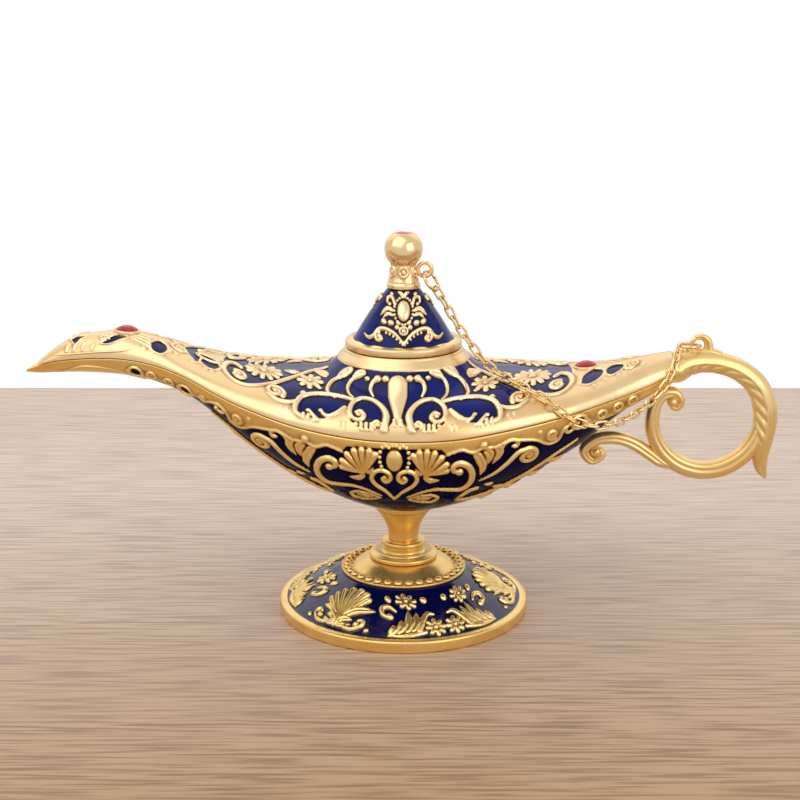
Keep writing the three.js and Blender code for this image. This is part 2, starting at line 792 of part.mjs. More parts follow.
const lidScrewBore = lidScrewRadius + borePlay;
const lidBossZ = lidTopZ - lidBossHeight;
const bossShare = (lidBossZ - lidFlangeHeight) / lidConeHeight;
const lidProfile = [
  [lidScrewBore, lidTopZ],
  [lidScrewBore, lidBossZ],
  lidSide(bossShare, lidWall),
  lidSide(0.5 * bossShare, lidWall),
  [spigotInner, lidFlangeHeight],
  [spigotInner, -spigotDepth],
  [spigotRadius, -spigotDepth],
  [spigotRadius, 0],
  [lidFlangeRadius - 0.2, 0],
  [lidFlangeRadius, 0.2 * lidFlangeHeight],
  [lidFlangeRadius - 0.5, 0.6 * lidFlangeHeight],
  [lidConeRadius + 0.6, 0.95 * lidFlangeHeight],
  lidSide(0, 0),
  lidSide(0.33, 0),
  lidSide(0.67, 0),
  lidSide(1, 0),
  [lidScrewBore, lidTopZ],
];
addMesh(lid, "lid_shell", turned(lidProfile, turnedFacets), enamel);

// Finial
const finialZ = lidTopZ + seatGap;
const discTopZ = finialZ + finialDiscHeight;
const ballZ = finialZ + finialBallHeight;
const finialPocketZ = ballZ + Math.sqrt(finialBallRadius ** 2 - (pocketRadius + 0.2) ** 2);
const neckJoin = Math.asin((finialNeckTop - 0.2) / finialBallRadius);
const pocketJoin = Math.PI - Math.asin((pocketRadius + 0.2) / finialBallRadius);
const ballSide = [0, 0.25, 0.5, 0.75, 1].map((share) => {
  const turn = neckJoin + (pocketJoin - neckJoin) * share;
  return [finialBallRadius * Math.sin(turn), ballZ - finialBallRadius * Math.cos(turn)];
});
const finialProfile = [
  [0, finialZ + lidScrewEngagement + 0.6],
  [lidScrewBore, finialZ + lidScrewEngagement + 0.6],
  [lidScrewBore, finialZ],
  [finialDiscRadius, finialZ],
  [finialDiscRadius, finialZ + 0.6 * finialDiscHeight],
  [finialDiscRadius - 0.5, discTopZ],
  [finialNeckBase, discTopZ + 0.3],
  [finialNeckTop, ballZ - 0.9 * finialBallRadius],
  ...ballSide,
  [pocketRadius, finialPocketZ],
  [pocketRadius, finialPocketZ - pocketDepth],
  [0, finialPocketZ - pocketDepth],
];
const eyeletZ = finialZ + eyeletHeight;
const eyelet = new THREE.TorusGeometry(eyeletMeanRadius, eyeletBar, 6, 14);
eyelet.rotateX(Math.PI / 2).translate(eyeletReach, 0, eyeletZ);
const finial = solid(turned(finialProfile, smallFacets)).add(solid(eyelet));
addMesh(lid, "finial", meshOf(finial), paleGold);

const finialStone = addMesh(lid, "finial_stone", stone, ruby);
finialStone.position.z = finialPocketZ - pocketDepth + stonePlay;

const lidScrewTopZ = lidBossZ - seatGap;
const lidScrewTipZ = finialZ + lidScrewEngagement;
const lidScrewProfile = [
  [0, lidScrewTopZ - lidScrewHeadHeight],
  [0.7 * lidScrewHeadRadius, lidScrewTopZ - lidScrewHeadHeight],
  [lidScrewHeadRadius, lidScrewTopZ - 0.5 * lidScrewHeadHeight],
  [lidScrewHeadRadius, lidScrewTopZ],
  [lidScrewRadius, lidScrewTopZ],
  [lidScrewRadius, lidScrewTipZ - 0.4],
  [lidScrewRadius - 0.4, lidScrewTipZ],
  [0, lidScrewTipZ],
];
addMesh(lid, "lid_screw", turned(lidScrewProfile, hiddenFacets), steel);

// Chain from the eyelet on the lid to the lug on the handle
const chain = new THREE.Group();
lamp.add(chain);

// Points of the chain's way, measured from the lid, the roof, the body and the lug
function besideLid(x, y, z) {
  return new THREE.Vector3(x, y, lid.position.z + z);
}

function overRoof(x, y, lift = chainLift) {
  return new THREE.Vector3(x, y, bodyZ + roofHeight(x, y, 0) + lift);
}

function besideBody(x, y, z) {
  return new THREE.Vector3(x, y, bodyZ + z);
}

function besideLug(x, y, z) {
  return new THREE.Vector3(lugHoleX + x, y, bodyZ + lugHoleZ + z);
}

const chainRoute = [
  besideLid(12.2, -2.6, 12.4),
  besideLid(15.6, -5, 6.8),
  besideLid(19, -7.4, 2.3),
  overRoof(23.2, -10, chainLiftAtCollar),
  overRoof(27.8, -13.4),
  overRoof(31.4, -17.4),
  overRoof(35.2, -20.8),
  overRoof(39.4, -23.1),
  besideBody(43.6, -25.3, 36.2),
  besideBody(48, -25.2, 33.2),
  besideBody(53.4, -24.6, 31.8),
  besideBody(57.6, -22.8, 31.9),
  besideBody(62.2, -19.6, 32.3),
  besideBody(67, -15.5, 33.9),
  besideBody(72, -11.2, 36.6),
  besideLug(-10, -9, -8.5),
  besideLug(-8.1, -7.9, -4.3),
  besideLug(-7.1, -5.4, -0.9),
];
const eyeletPin = new THREE.Vector3(eyeletReach + 0.1, 0, lid.position.z + eyeletZ - ringSag);
const lugPin = new THREE.Vector3(lugHoleX - lugSag, 0, bodyZ + lugHoleZ);
const lugAim = besideLug(-5.4, -2.4, 0.1);
const ringSpan = 2 * ringMeanRadius - ringWire / 2 - ringPlay;

// Where the chain leaves a ring that hangs from a pin
function ringExit(pin, aim) {
  return aim.clone().sub(pin).setLength(ringSpan).add(pin);
}

// Places a mesh with its length along one line and its flat side turned by an angle
function lay(mesh, from, to, reference, turn) {
  const along = to.clone().sub(from).normalize();
  const across = reference.clone().projectOnPlane(along).normalize().applyAxisAngle(along, turn);
  const facing = along.clone().cross(across);
  mesh.quaternion.setFromRotationMatrix(new THREE.Matrix4().makeBasis(along, across, facing));
  mesh.position.copy(from).add(to).multiplyScalar(0.5);
}

// One chain link: wire bent round two half circles
function linkGeometry() {
  const bend = (linkInnerWidth + linkWire) / 2;
  const straight = (linkInnerLength - linkInnerWidth) / 2;
  const rings = [];
  for (const end of [1, -1]) {
    for (let i = 0; i <= linkBendSteps; i++) {
      const turn = Math.PI * (i / linkBendSteps - 0.5);
      const out = new THREE.Vector3(end * Math.cos(turn), end * Math.sin(turn), 0);
      const centre = out.clone().multiplyScalar(bend).add(new THREE.Vector3(end * straight, 0, 0));
      const ring = [];
      for (let j = 0; j < linkWireFacets; j++) {
        const around = (2 * Math.PI * j) / linkWireFacets;
        const point = centre.clone().addScaledVector(out, (linkWire / 2) * Math.cos(around));
        point.z += (linkWire / 2) * Math.sin(around);
        ring.push(point);
      }
      rings.push(ring);
    }
  }
  return loft(rings, true);
}

const towardsFront = new THREE.Vector3(0, -1, 1);
const jumpRing = new THREE.TorusGeometry(ringMeanRadius, ringWire / 2, 6, 16);

const eighthTurn = Math.PI / 4;

const chainStart = ringExit(eyeletPin, chainRoute[0]);
const chainEnd = ringExit(lugPin, lugAim);
const lidRingFar = chainStart.clone().sub(eyeletPin).setLength(2 * ringMeanRadius).add(eyeletPin);
lay(addMesh(chain, "lid_ring", jumpRing, gold), eyeletPin, lidRingFar, towardsFront, eighthTurn);

const route = new THREE.CatmullRomCurve3([chainStart, ...chainRoute, chainEnd]);
route.arcLengthDivisions = 800;

// Links lie an eighth turn to either side in turn. The rings at both ends lie alike, so the count is odd.
const linksNeeded = Math.ceil(route.getLength() / (linkInnerLength - linkPlay));
const linkCount = linksNeeded + ((linksNeeded + 1) % 2);
const joints = route.getSpacedPoints(linkCount);
const link = linkGeometry();
for (let i = 0; i < linkCount; i++) {
  const name = `chain_link_${String(i + 1).padStart(2, "0")}`;
  const mesh = addMesh(chain, name, link, gold);
  lay(mesh, joints[i], joints[i + 1], towardsFront, i % 2 === 0 ? -eighthTurn : eighthTurn);
}
const handleRingFar = chainEnd.clone().sub(lugPin).setLength(2 * ringMeanRadius).add(lugPin);
lay(addMesh(chain, "handle_ring", jumpRing, gold), handleRingFar, lugPin, towardsFront, eighthTurn);

export default lamp;
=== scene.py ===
# Genie lamp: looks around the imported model.
# Sizes are in millimetres in the lamp's own frame: +X towards the handle, +Z up, front at -Y.
import math

import bmesh
import bpy
import numpy as np
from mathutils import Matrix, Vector


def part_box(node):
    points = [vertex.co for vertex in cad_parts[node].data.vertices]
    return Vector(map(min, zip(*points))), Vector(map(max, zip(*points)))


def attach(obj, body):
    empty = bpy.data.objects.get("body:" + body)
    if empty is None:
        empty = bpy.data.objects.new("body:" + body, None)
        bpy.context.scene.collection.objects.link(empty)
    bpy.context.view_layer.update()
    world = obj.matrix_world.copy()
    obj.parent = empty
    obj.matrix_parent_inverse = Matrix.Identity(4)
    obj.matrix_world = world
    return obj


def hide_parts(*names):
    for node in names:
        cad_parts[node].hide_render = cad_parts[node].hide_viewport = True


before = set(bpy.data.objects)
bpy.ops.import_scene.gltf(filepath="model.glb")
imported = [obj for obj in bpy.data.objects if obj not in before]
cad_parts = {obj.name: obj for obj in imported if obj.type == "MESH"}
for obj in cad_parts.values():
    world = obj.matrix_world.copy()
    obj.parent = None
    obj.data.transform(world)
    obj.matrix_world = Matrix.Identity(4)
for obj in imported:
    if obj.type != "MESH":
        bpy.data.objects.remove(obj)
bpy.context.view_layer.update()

MM = 0.001
TAU = 2 * math.pi
TINY = 1e-9


def low_of(node):
    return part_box(node)[0].z / MM


def high_of(node):
    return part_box(node)[1].z / MM


# Heights that the frame gives
SPIGOT_DEPTH = 3.5
SEAT = low_of("lower_shell")
FOOT_TOP = high_of("foot_shell")
DOME_BASE = low_of("foot_dome")
KNOP_BASE = low_of("stem_knop")
STEM_BASE = low_of("stem")
STEM_TOP = high_of("stem")
LID_SEAT = low_of("lid_shell") + SPIGOT_DEPTH
FINIAL_BASE = low_of("finial")
FINIAL_POCKET = low_of("finial_stone")

# Hull stations: x, half beam, and the heights of seam, ridge and keel above the stem seat
STATIONS = np.array([
    (-110, 1.0, 42.4, 42.8, 41.8),
    (-106, 3.1, 44.1, 44.8, 41.6),
    (-101, 4.7, 45.6, 48.6, 41.8),
    (-95, 6.0, 46.5, 52.0, 42.0),
    (-88, 7.2, 47.1, 53.0, 41.8),
    (-80, 8.3, 47.0, 53.2, 41.0),
    (-71, 10.8, 45.8, 51.2, 38.6),
    (-62, 14.6, 43.3, 47.8, 34.9),
    (-53, 19.3, 39.6, 45.3, 28.4),
    (-44, 24.0, 36.6, 43.7, 20.9),
    (-30, 29.6, 33.0, 43.0, 11.3),
    (-15, 33.0, 30.7, 43.2, 3.7),
    (0, 34.0, 29.8, 43.4, 0.4),
    (15, 33.0, 30.2, 43.2, 2.6),
    (30, 29.4, 32.0, 42.7, 8.1),
    (44, 24.0, 34.0, 42.3, 15.6),
    (53, 19.0, 35.5, 42.6, 21.4),
    (62, 13.6, 37.2, 43.8, 28.6),
    (70, 9.4, 39.2, 45.6, 34.2),
    (78, 6.4, 42.2, 47.2, 38.4),
])
TIP_X = STATIONS[0, 0]
REAR_X = STATIONS[-1, 0]
UPPER_LIP_X = -106
SEAM_GAP = 0.3
BODY_WALL = 1.5
END_WALL_SHARE = 0.4
BOSS = [(8.6, 0), (8.8, 0.4), (8.8, 3.2)]

# Collar and mouth
COLLAR_BASE_RADIUS = 19.4
COLLAR_BASE = 45.9
COLLAR_HEIGHT = 3.3
COLLAR_TOP_RADIUS = 17.0
COLLAR_EDGE = 0.3
COLLAR_ROUND = 0.6
COLLAR_WALL = 1.2
COLLAR_TAPER = 0.4
COLLAR_TAPER_DROP = 0.7
COLLAR_DEPTH = 2.6
MOUTH_RADIUS = 14.6
MOUTH_ROUND = 0.4
SKIRT_SLOPE = 1.4
SKIRT_BLEND = 3.0
SKIRT_INSET = 1.2
HOLE_RADIUS = 17.6

# Foot, dome and stem
BORE_RADIUS = 2.3
FOOT_RADIUS = 37.3
FOOT_RIM_HEIGHT = 3.6
FOOT_RIM_PROUD = 1.9
FOOT_RIM_ROUND = 0.7
FOOT_RIM_WIDTH = 3.0
FOOT_RIM_INSIDE = 1.4
FOOT_TOP_RADIUS = 19.0
FOOT_SWELL = 0.06
FOOT_WALL = 1.6
DOME_RADIUS = 18.7
DOME_EDGE = 0.5
DOME_BEVEL = 0.25
DOME_LIP = 0.7
DOME_TRACK = 3.2
DOME_HEIGHT = 3.3
DOME_CROWN_RADIUS = 9.5
DOME_BEADS = 34
DOME_BEAD_RADIUS = 1.2
DOME_BEAD_RISE = 1.05
DOME_BEAD_PLACE = 2.35
STEM_NECK_RADIUS = 4.5
STEM_TOP_RADIUS = 8.5
STEM_FLARE = 2.2
STEM_CREASE = 50

# Lid and finial
LID_FLANGE_RADIUS = 16.95
LID_FLANGE_HEIGHT = 2.1
LID_FLANGE_EDGE = 0.3
LID_FLANGE_ROUND = 0.7
LID_CONE_RADIUS = 14.9
LID_CONE_HEIGHT = 14.8
LID_TOP_RADIUS = 5.0
LID_BULGE = 0.5
LID_WALL = 1.7
LID_WALL_DROP = 0.6
LID_WALL_GAP = 0.2
LID_BOSS_RADIUS = 3.8
LID_BOSS_HEIGHT = 2.4
SPIGOT_RADIUS = 14.3
SPIGOT_INSIDE = 12.6
SPIGOT_BEVEL = 0.3
SPIGOT_ROOT = 0.5
SCREW_BORE = 1.7
SCREW_DEPTH = 4.8
SCREW_CORE = 0.05
FINIAL_DISC = [(4.7, 0), (4.9, 0.25), (4.9, 1.2), (4.45, 1.7), (4.5, 2.0)]
NECK_TOP_RADIUS = 3.6
NECK_WAIST = 0.25
NECK_SINK = 0.2
NECK_OVALS = 6
BALL_RADIUS = 5.5
BALL_HEIGHT = 11.1
BALL_EDGE = 0.2
EYELET_REACH = 6.1
EYELET_HEIGHT = 5.2
EYELET_RADIUS = 1.95
EYELET_BAR = 0.6

# Stones
STONE_RADIUS = 3.0
STONE_CROWN = 0.9
FINIAL_STONE_RADIUS = 2.6
FINIAL_STONE_CROWN = 0.3
STONE_FACETS = 10
STONE_PLAY = 0.1
POCKET_PLAY = 0.05
STONE_CREASE = 4
BEZEL_WIDTH = 0.75
BEZEL_PROUD = 0.7
BEZEL_EDGE = 0.2
BEZEL_ROUND = 0.37
BEZEL_ROUND_DROP = 0.3
POCKET_DEPTH = 0.6
SPOUT_STONE_X = -80.3
REAR_STONE_X = 53.3

# Handle: heights are above the stem seat, as for the hull
ROOT_X = REAR_X + 0.3
CROWN_Z = 44.5
FINGER_X = REAR_X + 11.3
FINGER_Z = CROWN_Z - 17
FINGER_RADIUS = 16.1
LUG_X = REAR_X + 8
LUG_Z = CROWN_Z + 5
LUG_RADIUS = 2.15
LUG_BAR = 0.65
ARM_FLUTES = 16
FLUTE_SLANT = 1.1

# Chain
LINK_INNER_LENGTH = 3.5
LINK_INNER_WIDTH = 1.35
LINK_WIRE = 0.7
RING_RADIUS = 3.2
RING_WIRE = 0.9

# Relief: the enamel lies a little below the plain surface and the gilding stands above it
GROUND = 0.3
BAND_LEVEL = 0.45
EDGE_SLOPE = 0.4
DRAW_MARGIN = 0.6
BARE = -9.0
CREST_REACH = 3
UPPER_MIDDLE = -1.7
LOWER_MIDDLE = -2.6
FAR_CELL_X = -56
PALMETTE_TURN = -127
GARLAND_TURN = -68

# How finely the surfaces are divided
COLUMN_STEP = 0.3
SECTION_ROWS = 120
SECTION_STEPS = 300
INNER_ROWS = 14
FOOT_FACETS = 720
DOME_FACETS = 544
LID_FACETS = 480
COLLAR_FACETS = 240
TURNED_FACETS = 160
FINIAL_FACETS = 144
BOSS_FACETS = 96
BEZEL_FACETS = 64
BAR_FACETS = 16
WIRE_FACETS = 14

# Colours, linear: golds are pale, warm and a painted highlight on crests; enamels, stone, steel and wood are
# dark and bright
GOLD = ((0.94, 0.7, 0.4), (0.91, 0.62, 0.3), (0.98, 0.8, 0.5))
# Painted shade and a painted reflection of the warm table: a deeper, more saturated copy of the gold for the
# parts below the seam
RICH_GOLD_PAINTED_SHADE = ((0.97, 0.69, 0.26), (0.93, 0.59, 0.17), (1.0, 0.77, 0.36))
SATIN_GOLD = ((0.96, 0.7, 0.32), (0.92, 0.61, 0.23))
CHAIN_GOLD = ((0.9, 0.7, 0.38), (0.76, 0.54, 0.22))
# Painted shade: dark gold for the hollows of the relief
GOLD_HOLLOW_SHADE = (0.3, 0.12, 0.02)
COBALT = ((0.002, 0.004, 0.07), (0.005, 0.014, 0.22))
# Painted shade: a darker copy of the enamel for the lower half, which faces down
NAVY_PAINTED_SHADE = ((0.002, 0.002, 0.025), (0.005, 0.006, 0.07))
# Painted shade in part: the foot's enamel runs from the brighter tone of the darker navy to the deeper cobalt
# tone
FOOT_NAVY = (NAVY_PAINTED_SHADE[1], COBALT[0])
# Painted shade: near-black enamel beside the raised gilt edges
ENAMEL_EDGE_SHADE = (0.001, 0.001, 0.008)
RUBY = ((0.36, 0.003, 0.012), (0.62, 0.008, 0.03))
STEEL = ((0.42, 0.42, 0.43), (0.6, 0.6, 0.61))
WOOD_NEAR = ((0.26, 0.135, 0.06), (0.57, 0.36, 0.2))
# Painted sheen: the far wood tones are paler and stand for the bright room reflected in the far floor
WOOD_FAR_PAINTED_SHEEN = ((0.66, 0.5, 0.4), (0.94, 0.76, 0.63))
DAYLIGHT = (1.0, 0.98, 0.96)
WHITE = (1.0, 1.0, 1.0)

# Stage and camera
FLOOR_HALF_WIDTH = 900
FLOOR_FRONT = -200
FLOOR_BACK = 264
# The floor's painted sheen grows from the first of these lines to the second
SHEEN_START_Y = -130
SHEEN_FULL_Y = 110
ROOM_LIGHT = 0.45
ROOM_GLEAM = 0.78
LIGHTS = (
    ("key", (-260, -240, 520), (0, 0, 50), (700, 600), 1.3),
    ("fill", (380, -420, 300), (0, 0, 50), (400, 400), 0.8),
    ("back", (0, 420, 460), (0, 0, 60), (1200, 600), 0.9),
)
CAMERA_PLACE = (-1.03, -447.0, 182.6)
CAMERA_PITCH = 14.84
CAMERA_LENS = 70.8
CAMERA_SENSOR = 36.0
CAMERA_NEAR = 10


# Mesh building

def new_piece(name, points, faces, material, body, nodes, layers=None):
    """Piece from points in millimetres, a list of face index arrays and numbers for each point."""
    mesh = bpy.data.meshes.new(name)
    mesh.vertices.add(len(points))
    mesh.vertices.foreach_set("co", (np.asarray(points, float) * MM).astype(np.float32).ravel())
    corners = np.concatenate([np.asarray(f, np.int32).ravel() for f in faces])
    sizes = np.concatenate([np.full(len(f), np.asarray(f).shape[1], np.int32) for f in faces])
    starts = np.concatenate([[0], np.cumsum(sizes)[:-1]]).astype(np.int32)
    mesh.loops.add(len(corners))
    mesh.loops.foreach_set("vertex_index", corners)
    mesh.polygons.add(len(sizes))
    mesh.polygons.foreach_set("loop_start", starts)
    mesh.update(calc_edges=True)
    for key, values in (layers or {}).items():
        layer = mesh.attributes.new(key, "FLOAT", "POINT")
        layer.data.foreach_set("value", np.asarray(values, np.float32).ravel())
    face_outwards(mesh)
    mesh.shade_smooth()
    mesh.materials.append(material)
    piece = bpy.data.objects.new(name, mesh)
    bpy.context.scene.collection.objects.link(piece)
    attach(piece, body)
    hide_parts(*nodes)
    return piece


def face_outwards(mesh):
    """Turns the faces of closed skins outwards and drops points that no face uses."""
    shape = bmesh.new()
    shape.from_mesh(mesh)
    bmesh.ops.delete(shape, geom=[v for v in shape.verts if not v.link_faces], context="VERTS")
    bmesh.ops.recalc_face_normals(shape, faces=shape.faces)
    shape.to_mesh(mesh)
    shape.free()


def crisp(piece, degrees):
    piece.data.set_sharp_from_angle(angle=math.radians(degrees))


class Solids:
    """Collects closed skins that make up one casting."""

    def __init__(self, *skins):
        self.points = []
        self.faces = []
        # The relief layer holds height against the neighbouring points; the paints turn it into painted
        # highlight on crests and painted shade in hollows
        self.layers = {"gilt": [], "relief": []}
        self.count = 0
        for skin in skins:
            self.add(*skin)

    def add(self, points, faces, gilt=1.0, relief=0.0):
        points = np.asarray(points, float).reshape(-1, 3)
        self.points.append(points)
        self.faces += [np.asarray(f) + self.count for f in faces]
        for key, value in (("gilt", gilt), ("relief", relief)):
            self.layers[key].append(np.broadcast_to(np.asarray(value, float).ravel(), len(points)))
        self.count += len(points)

    def piece(self, name, material, body, node, slot):
        layers = {key: np.concatenate(values) for key, values in self.layers.items()}
        return new_piece(name, np.vstack(self.points), self.faces, material, body, [node], layers)


def grid_faces(index, wrap_rows=False, wrap_columns=False):
    """Quads over a grid of point numbers."""
    if wrap_rows:
        index = np.vstack([index, index[:1]])
    if wrap_columns:
        index = np.hstack([index, index[:, :1]])
    corners = [index[:-1, :-1], index[1:, :-1], index[1:, 1:], index[:-1, 1:]]
    return np.stack([c.ravel() for c in corners], 1)


def numbers(rows, columns, first=0):
    """Grid of point numbers."""
    return np.arange(rows * columns).reshape(rows, columns) + first


def arc(centre_r, centre_z, radius, start, end, steps):
    """Points of a round stretch of a profile, in degrees."""
    turns = np.radians(np.linspace(start, end, steps))
    return [(centre_r + radius * math.cos(t), centre_z + radius * math.sin(t)) for t in turns]


def raised(outline, z):
    return [(r, z + up) for r, up in outline]


def around(count):
    """Angles of points round a full turn."""
    return np.arange(count) * TAU / count


def lathe(profile, count):
    """Closed turned skin from a closed profile of radius and height."""
    profile = np.asarray(profile, float)
    turns = around(count)
    radius = profile[:, :1]
    height = np.broadcast_to(profile[:, 1:], (len(profile), count))
    points = np.stack([radius * np.cos(turns), radius * np.sin(turns), height], -1)
    index = numbers(len(profile), count)
    return points.reshape(-1, 3), [grid_faces(index.T, wrap_rows=True, wrap_columns=True)]


def tube(line, radius, facets):
    """Closed wire along a closed flat line."""
    along = np.roll(line, -1, 0) - np.roll(line, 1, 0)
    along /= np.linalg.norm(along, axis=1, keepdims=True)
    flat = np.linalg.svd(line - line.mean(0))[2][2]
    side = np.cross(along, flat)
    turns = around(facets)
    spread = np.cos(turns)[None, :, None] * side[:, None, :] + np.sin(turns)[None, :, None] * flat
    points = line[:, None, :] + radius * spread
    index = numbers(len(line), facets)
    return points.reshape(-1, 3), [grid_faces(index, wrap_rows=True, wrap_columns=True)]


def eye(x, z, radius, bar, steps):
    """Round ring of wire in the lamp's middle plane."""
    turns = around(steps)
    line = np.stack([x + radius * np.cos(turns), 0 * turns, z + radius * np.sin(turns)], 1)
    return tube(line, bar, BAR_FACETS)


def dense(profile, step):
    """Profile with points no further apart than a step."""
    profile = np.asarray(profile, float)
    rows = [profile[:1]]
    for a, b in zip(profile[:-1], profile[1:]):
        count = max(1, int(np.ceil(np.hypot(*(b - a)) / step)))
        rows.append(a + np.arange(1, count + 1)[:, None] / count * (b - a))
    return np.vstack(rows).tolist()


# Relief: raised ornament drawn on a surface with coordinates in millimetres

def smooth_line(points, steps=10):
    """Catmull-Rom line through points."""
    points = np.asarray(points, float)
    if len(points) < 3:
        return points[0] + np.linspace(0, 1, steps)[:, None] * (points[-1] - points[0])
    ends = np.vstack([2 * points[0] - points[1], points, 2 * points[-1] - points[-2]])
    t = np.linspace(0, 1, steps, endpoint=False)[:, None]
    line = []
    for a, b, c, d in zip(ends[:-3], ends[1:-2], ends[2:-1], ends[3:]):
        bend = 2 * a - 5 * b + 4 * c - d
        turn = 3 * b - a - 3 * c + d
        line.append(b + 0.5 * (t * (c - a) + t * t * bend + t * t * t * turn))
    return np.vstack(line + [points[-1:]])


def dome_over(share):
    """Height of a round back over its middle at one share of its half width."""
    return np.sqrt(np.clip(1 - share ** 2, 0, 1))


class Relief:
    """Height and gilding over a surface. Gilding is the distance inside a gilt edge.

    Motifs are drawn at distances away from a middle line and up from an edge.
    """

    def __init__(self, across, up):
        self.across = across
        self.up = up
        self.height = np.zeros(up.shape)
        self.gilt = np.full(up.shape, BARE)
        self.aim(0.0)

    def aim(self, middle, side=1):
        """Sets the middle line, and the side of it that distances count towards."""
        self.away = side * (self.across - middle)

    def near(self, points, reach):
        low = np.min(points, axis=0) - reach
        high = np.max(points, axis=0) + reach
        inside = (self.away > low[0]) & (self.away < high[0])
        inside &= (self.up > low[1]) & (self.up < high[1])
        return np.nonzero(inside)

    def raise_to(self, where, height, gilt):
        self.height[where] = np.maximum(self.height[where], height)
        self.gilt[where] = np.maximum(self.gilt[where], gilt)

    def sink(self, where, inside):
        """Takes the gilding away where inside is positive."""
        self.gilt[where] = np.minimum(self.gilt[where], -inside)
        self.height[where] *= np.clip(0.5 - inside / EDGE_SLOPE, 0, 1)

    def band(self, edge):
        """Gilds everything below an edge."""
        inside = np.clip(edge - self.up, BARE, 3)
        self.raise_to(..., BAND_LEVEL * np.clip(inside / EDGE_SLOPE + 0.5, 0, 1), inside)

    def line(self, points, width, height=0.85, vein=0.0):
        """Rounded line; width is one half width or several along its way."""
        line = smooth_line(points)
        widths = np.atleast_1d(width)
        share = np.linspace(0, 1, len(line))
        half = np.interp(share, np.linspace(0, 1, len(widths)), widths)
        where = self.near(line, half.max() + DRAW_MARGIN)
        spot = np.stack([self.away[where], self.up[where]], -1)
        start = line[:-1]
        run = line[1:] - start
        long = np.maximum((run ** 2).sum(1), TINY)
        offset = spot[:, None, :] - start
        along = np.clip((offset * run).sum(2) / long, 0, 1)
        off = np.linalg.norm(offset - along[..., None] * run, axis=2)
        local = half[:-1] + along * np.diff(half)
        edge = local - off
        best = edge.argmax(1)
        rows = np.arange(len(best))
        edge = edge[rows, best]
        local = local[rows, best]
        bulge = dome_over((local - edge) / np.maximum(local, 1e-3))
        groove = 1 - vein * np.exp(-((local - edge) / (0.3 * half.max())) ** 2)
        swell = np.clip(local / half.max(), 0, 1) ** 0.5
        self.raise_to(where, height * bulge * swell * groove, edge)

    def oval_share(self, away, up, long, short, turn):
        """Where an oval lies, and the share of its half width at each point there."""
        where = self.near([(away, up)], max(long, short) + DRAW_MARGIN)
        c, s = math.cos(math.radians(turn)), math.sin(math.radians(turn))
        x = self.away[where] - away
        y = self.up[where] - up
        return where, np.hypot((x * c + y * s) / long, (y * c - x * s) / short)

    def oval(self, away, up, long, short, turn=0.0, height=0.8):
        """Domed oval; turn is in degrees."""
        where, share = self.oval_share(away, up, long, short, turn)
        self.raise_to(where, height * dome_over(share), (1 - share) * min(long, short))

    def hollow(self, away, up, long, short, turn=0.0):
        """Oval cell of enamel cut into gilding."""
        where, share = self.oval_share(away, up, long, short, turn)
        self.sink(where, (1 - share) * min(long, short))

    def ring(self, away, up, long, short, width, turn=0.0, height=0.7):
        """Raised rim round an oval."""
        where, share = self.oval_share(away, up, long + width, short + width, turn)
        off = np.abs((1 - share) * min(long, short) - width)
        self.raise_to(where, height * dome_over(off / width), width - off)

    def bead(self, away, up, radius, height=None):
        self.oval(away, up, radius, radius, 0, 0.9 * radius if height is None else height)

    def beads(self, places, height=None):
        for away, up, radius in places:
            self.bead(away, up, radius, height)

    def volute(self, away, up, radius, start, turns, width, height=0.85):
        """Spiral that winds in to a bead. Start is in degrees, and turns may be negative."""
        t = np.linspace(0, 1, 7 + int(12 * abs(turns)))
        angle = math.radians(start) + TAU * turns * t
        reach = radius * (1 - 0.72 * t)
        points = np.stack([away + reach * np.cos(angle), up + reach * np.sin(angle)], 1)
        self.line(points, (width, width, 0.7 * width), height)
        self.bead(away, up, 0.3 * radius, 1.1 * height)

    def leaf(self, points, width, height=0.85, vein=0.45):
        """Pointed leaf along a line, widest before its middle."""
        self.line(points, (0.25 * width, 0.9 * width, width, 0.7 * width, 0.12), height, vein)

    def fan(self, base, tips, width, height, vein=0.0):
        """Fluted shell: ribs from one foot to several round tips."""
        for tip in tips:
            self.line([base, tip], (0.25, 0.5 * width, 0.85 * width, width), height, vein)

    def daisy(self, away, up, long, short, petals, height=0.95):
        """Flower with long petals round a bead."""
        size = math.sqrt(long * short)
        wide = 2.6 * size / petals
        for turn in around(petals):
            tip = (away + long * math.cos(turn), up + short * math.sin(turn))
            heel = (away + 0.25 * long * math.cos(turn), up + 0.25 * short * math.sin(turn))
            self.line([heel, tip], (0.4 * wide, 0.85 * wide, 0.75 * wide), height, 0.3)
        self.bead(away, up, 0.24 * size, 1.15 * height)

    def cell(self, points, rim):
        """Enamel cell with a smooth closed outline, cut into gilding, with a raised rim."""
        line = smooth_line(list(points) + [points[0]])
        where = self.near(line, 2 * EDGE_SLOPE)
        x = self.away[where][:, None]
        y = self.up[where][:, None]
        start = line[:-1]
        run = np.diff(line, axis=0)
        long = np.maximum((run ** 2).sum(1), TINY)
        share = np.clip(((x - start[:, 0]) * run[:, 0] + (y - start[:, 1]) * run[:, 1]) / long, 0, 1)
        off = np.hypot(x - start[:, 0] - share * run[:, 0], y - start[:, 1] - share * run[:, 1]).min(1)
        above = (start[:, 1] > y) != (line[1:, 1] > y)
        rise = np.where(np.abs(run[:, 1]) < TINY, TINY, run[:, 1])
        crossed = above & (x < start[:, 0] + (y - start[:, 1]) * run[:, 0] / rise)
        inside = np.where(crossed.sum(1) % 2 == 1, off, -off)
        self.sink(where, inside)
        bulge = dome_over((inside + rim) / rim)
        self.raise_to(where, (BAND_LEVEL + 0.35) * bulge, rim - np.abs(inside + rim))


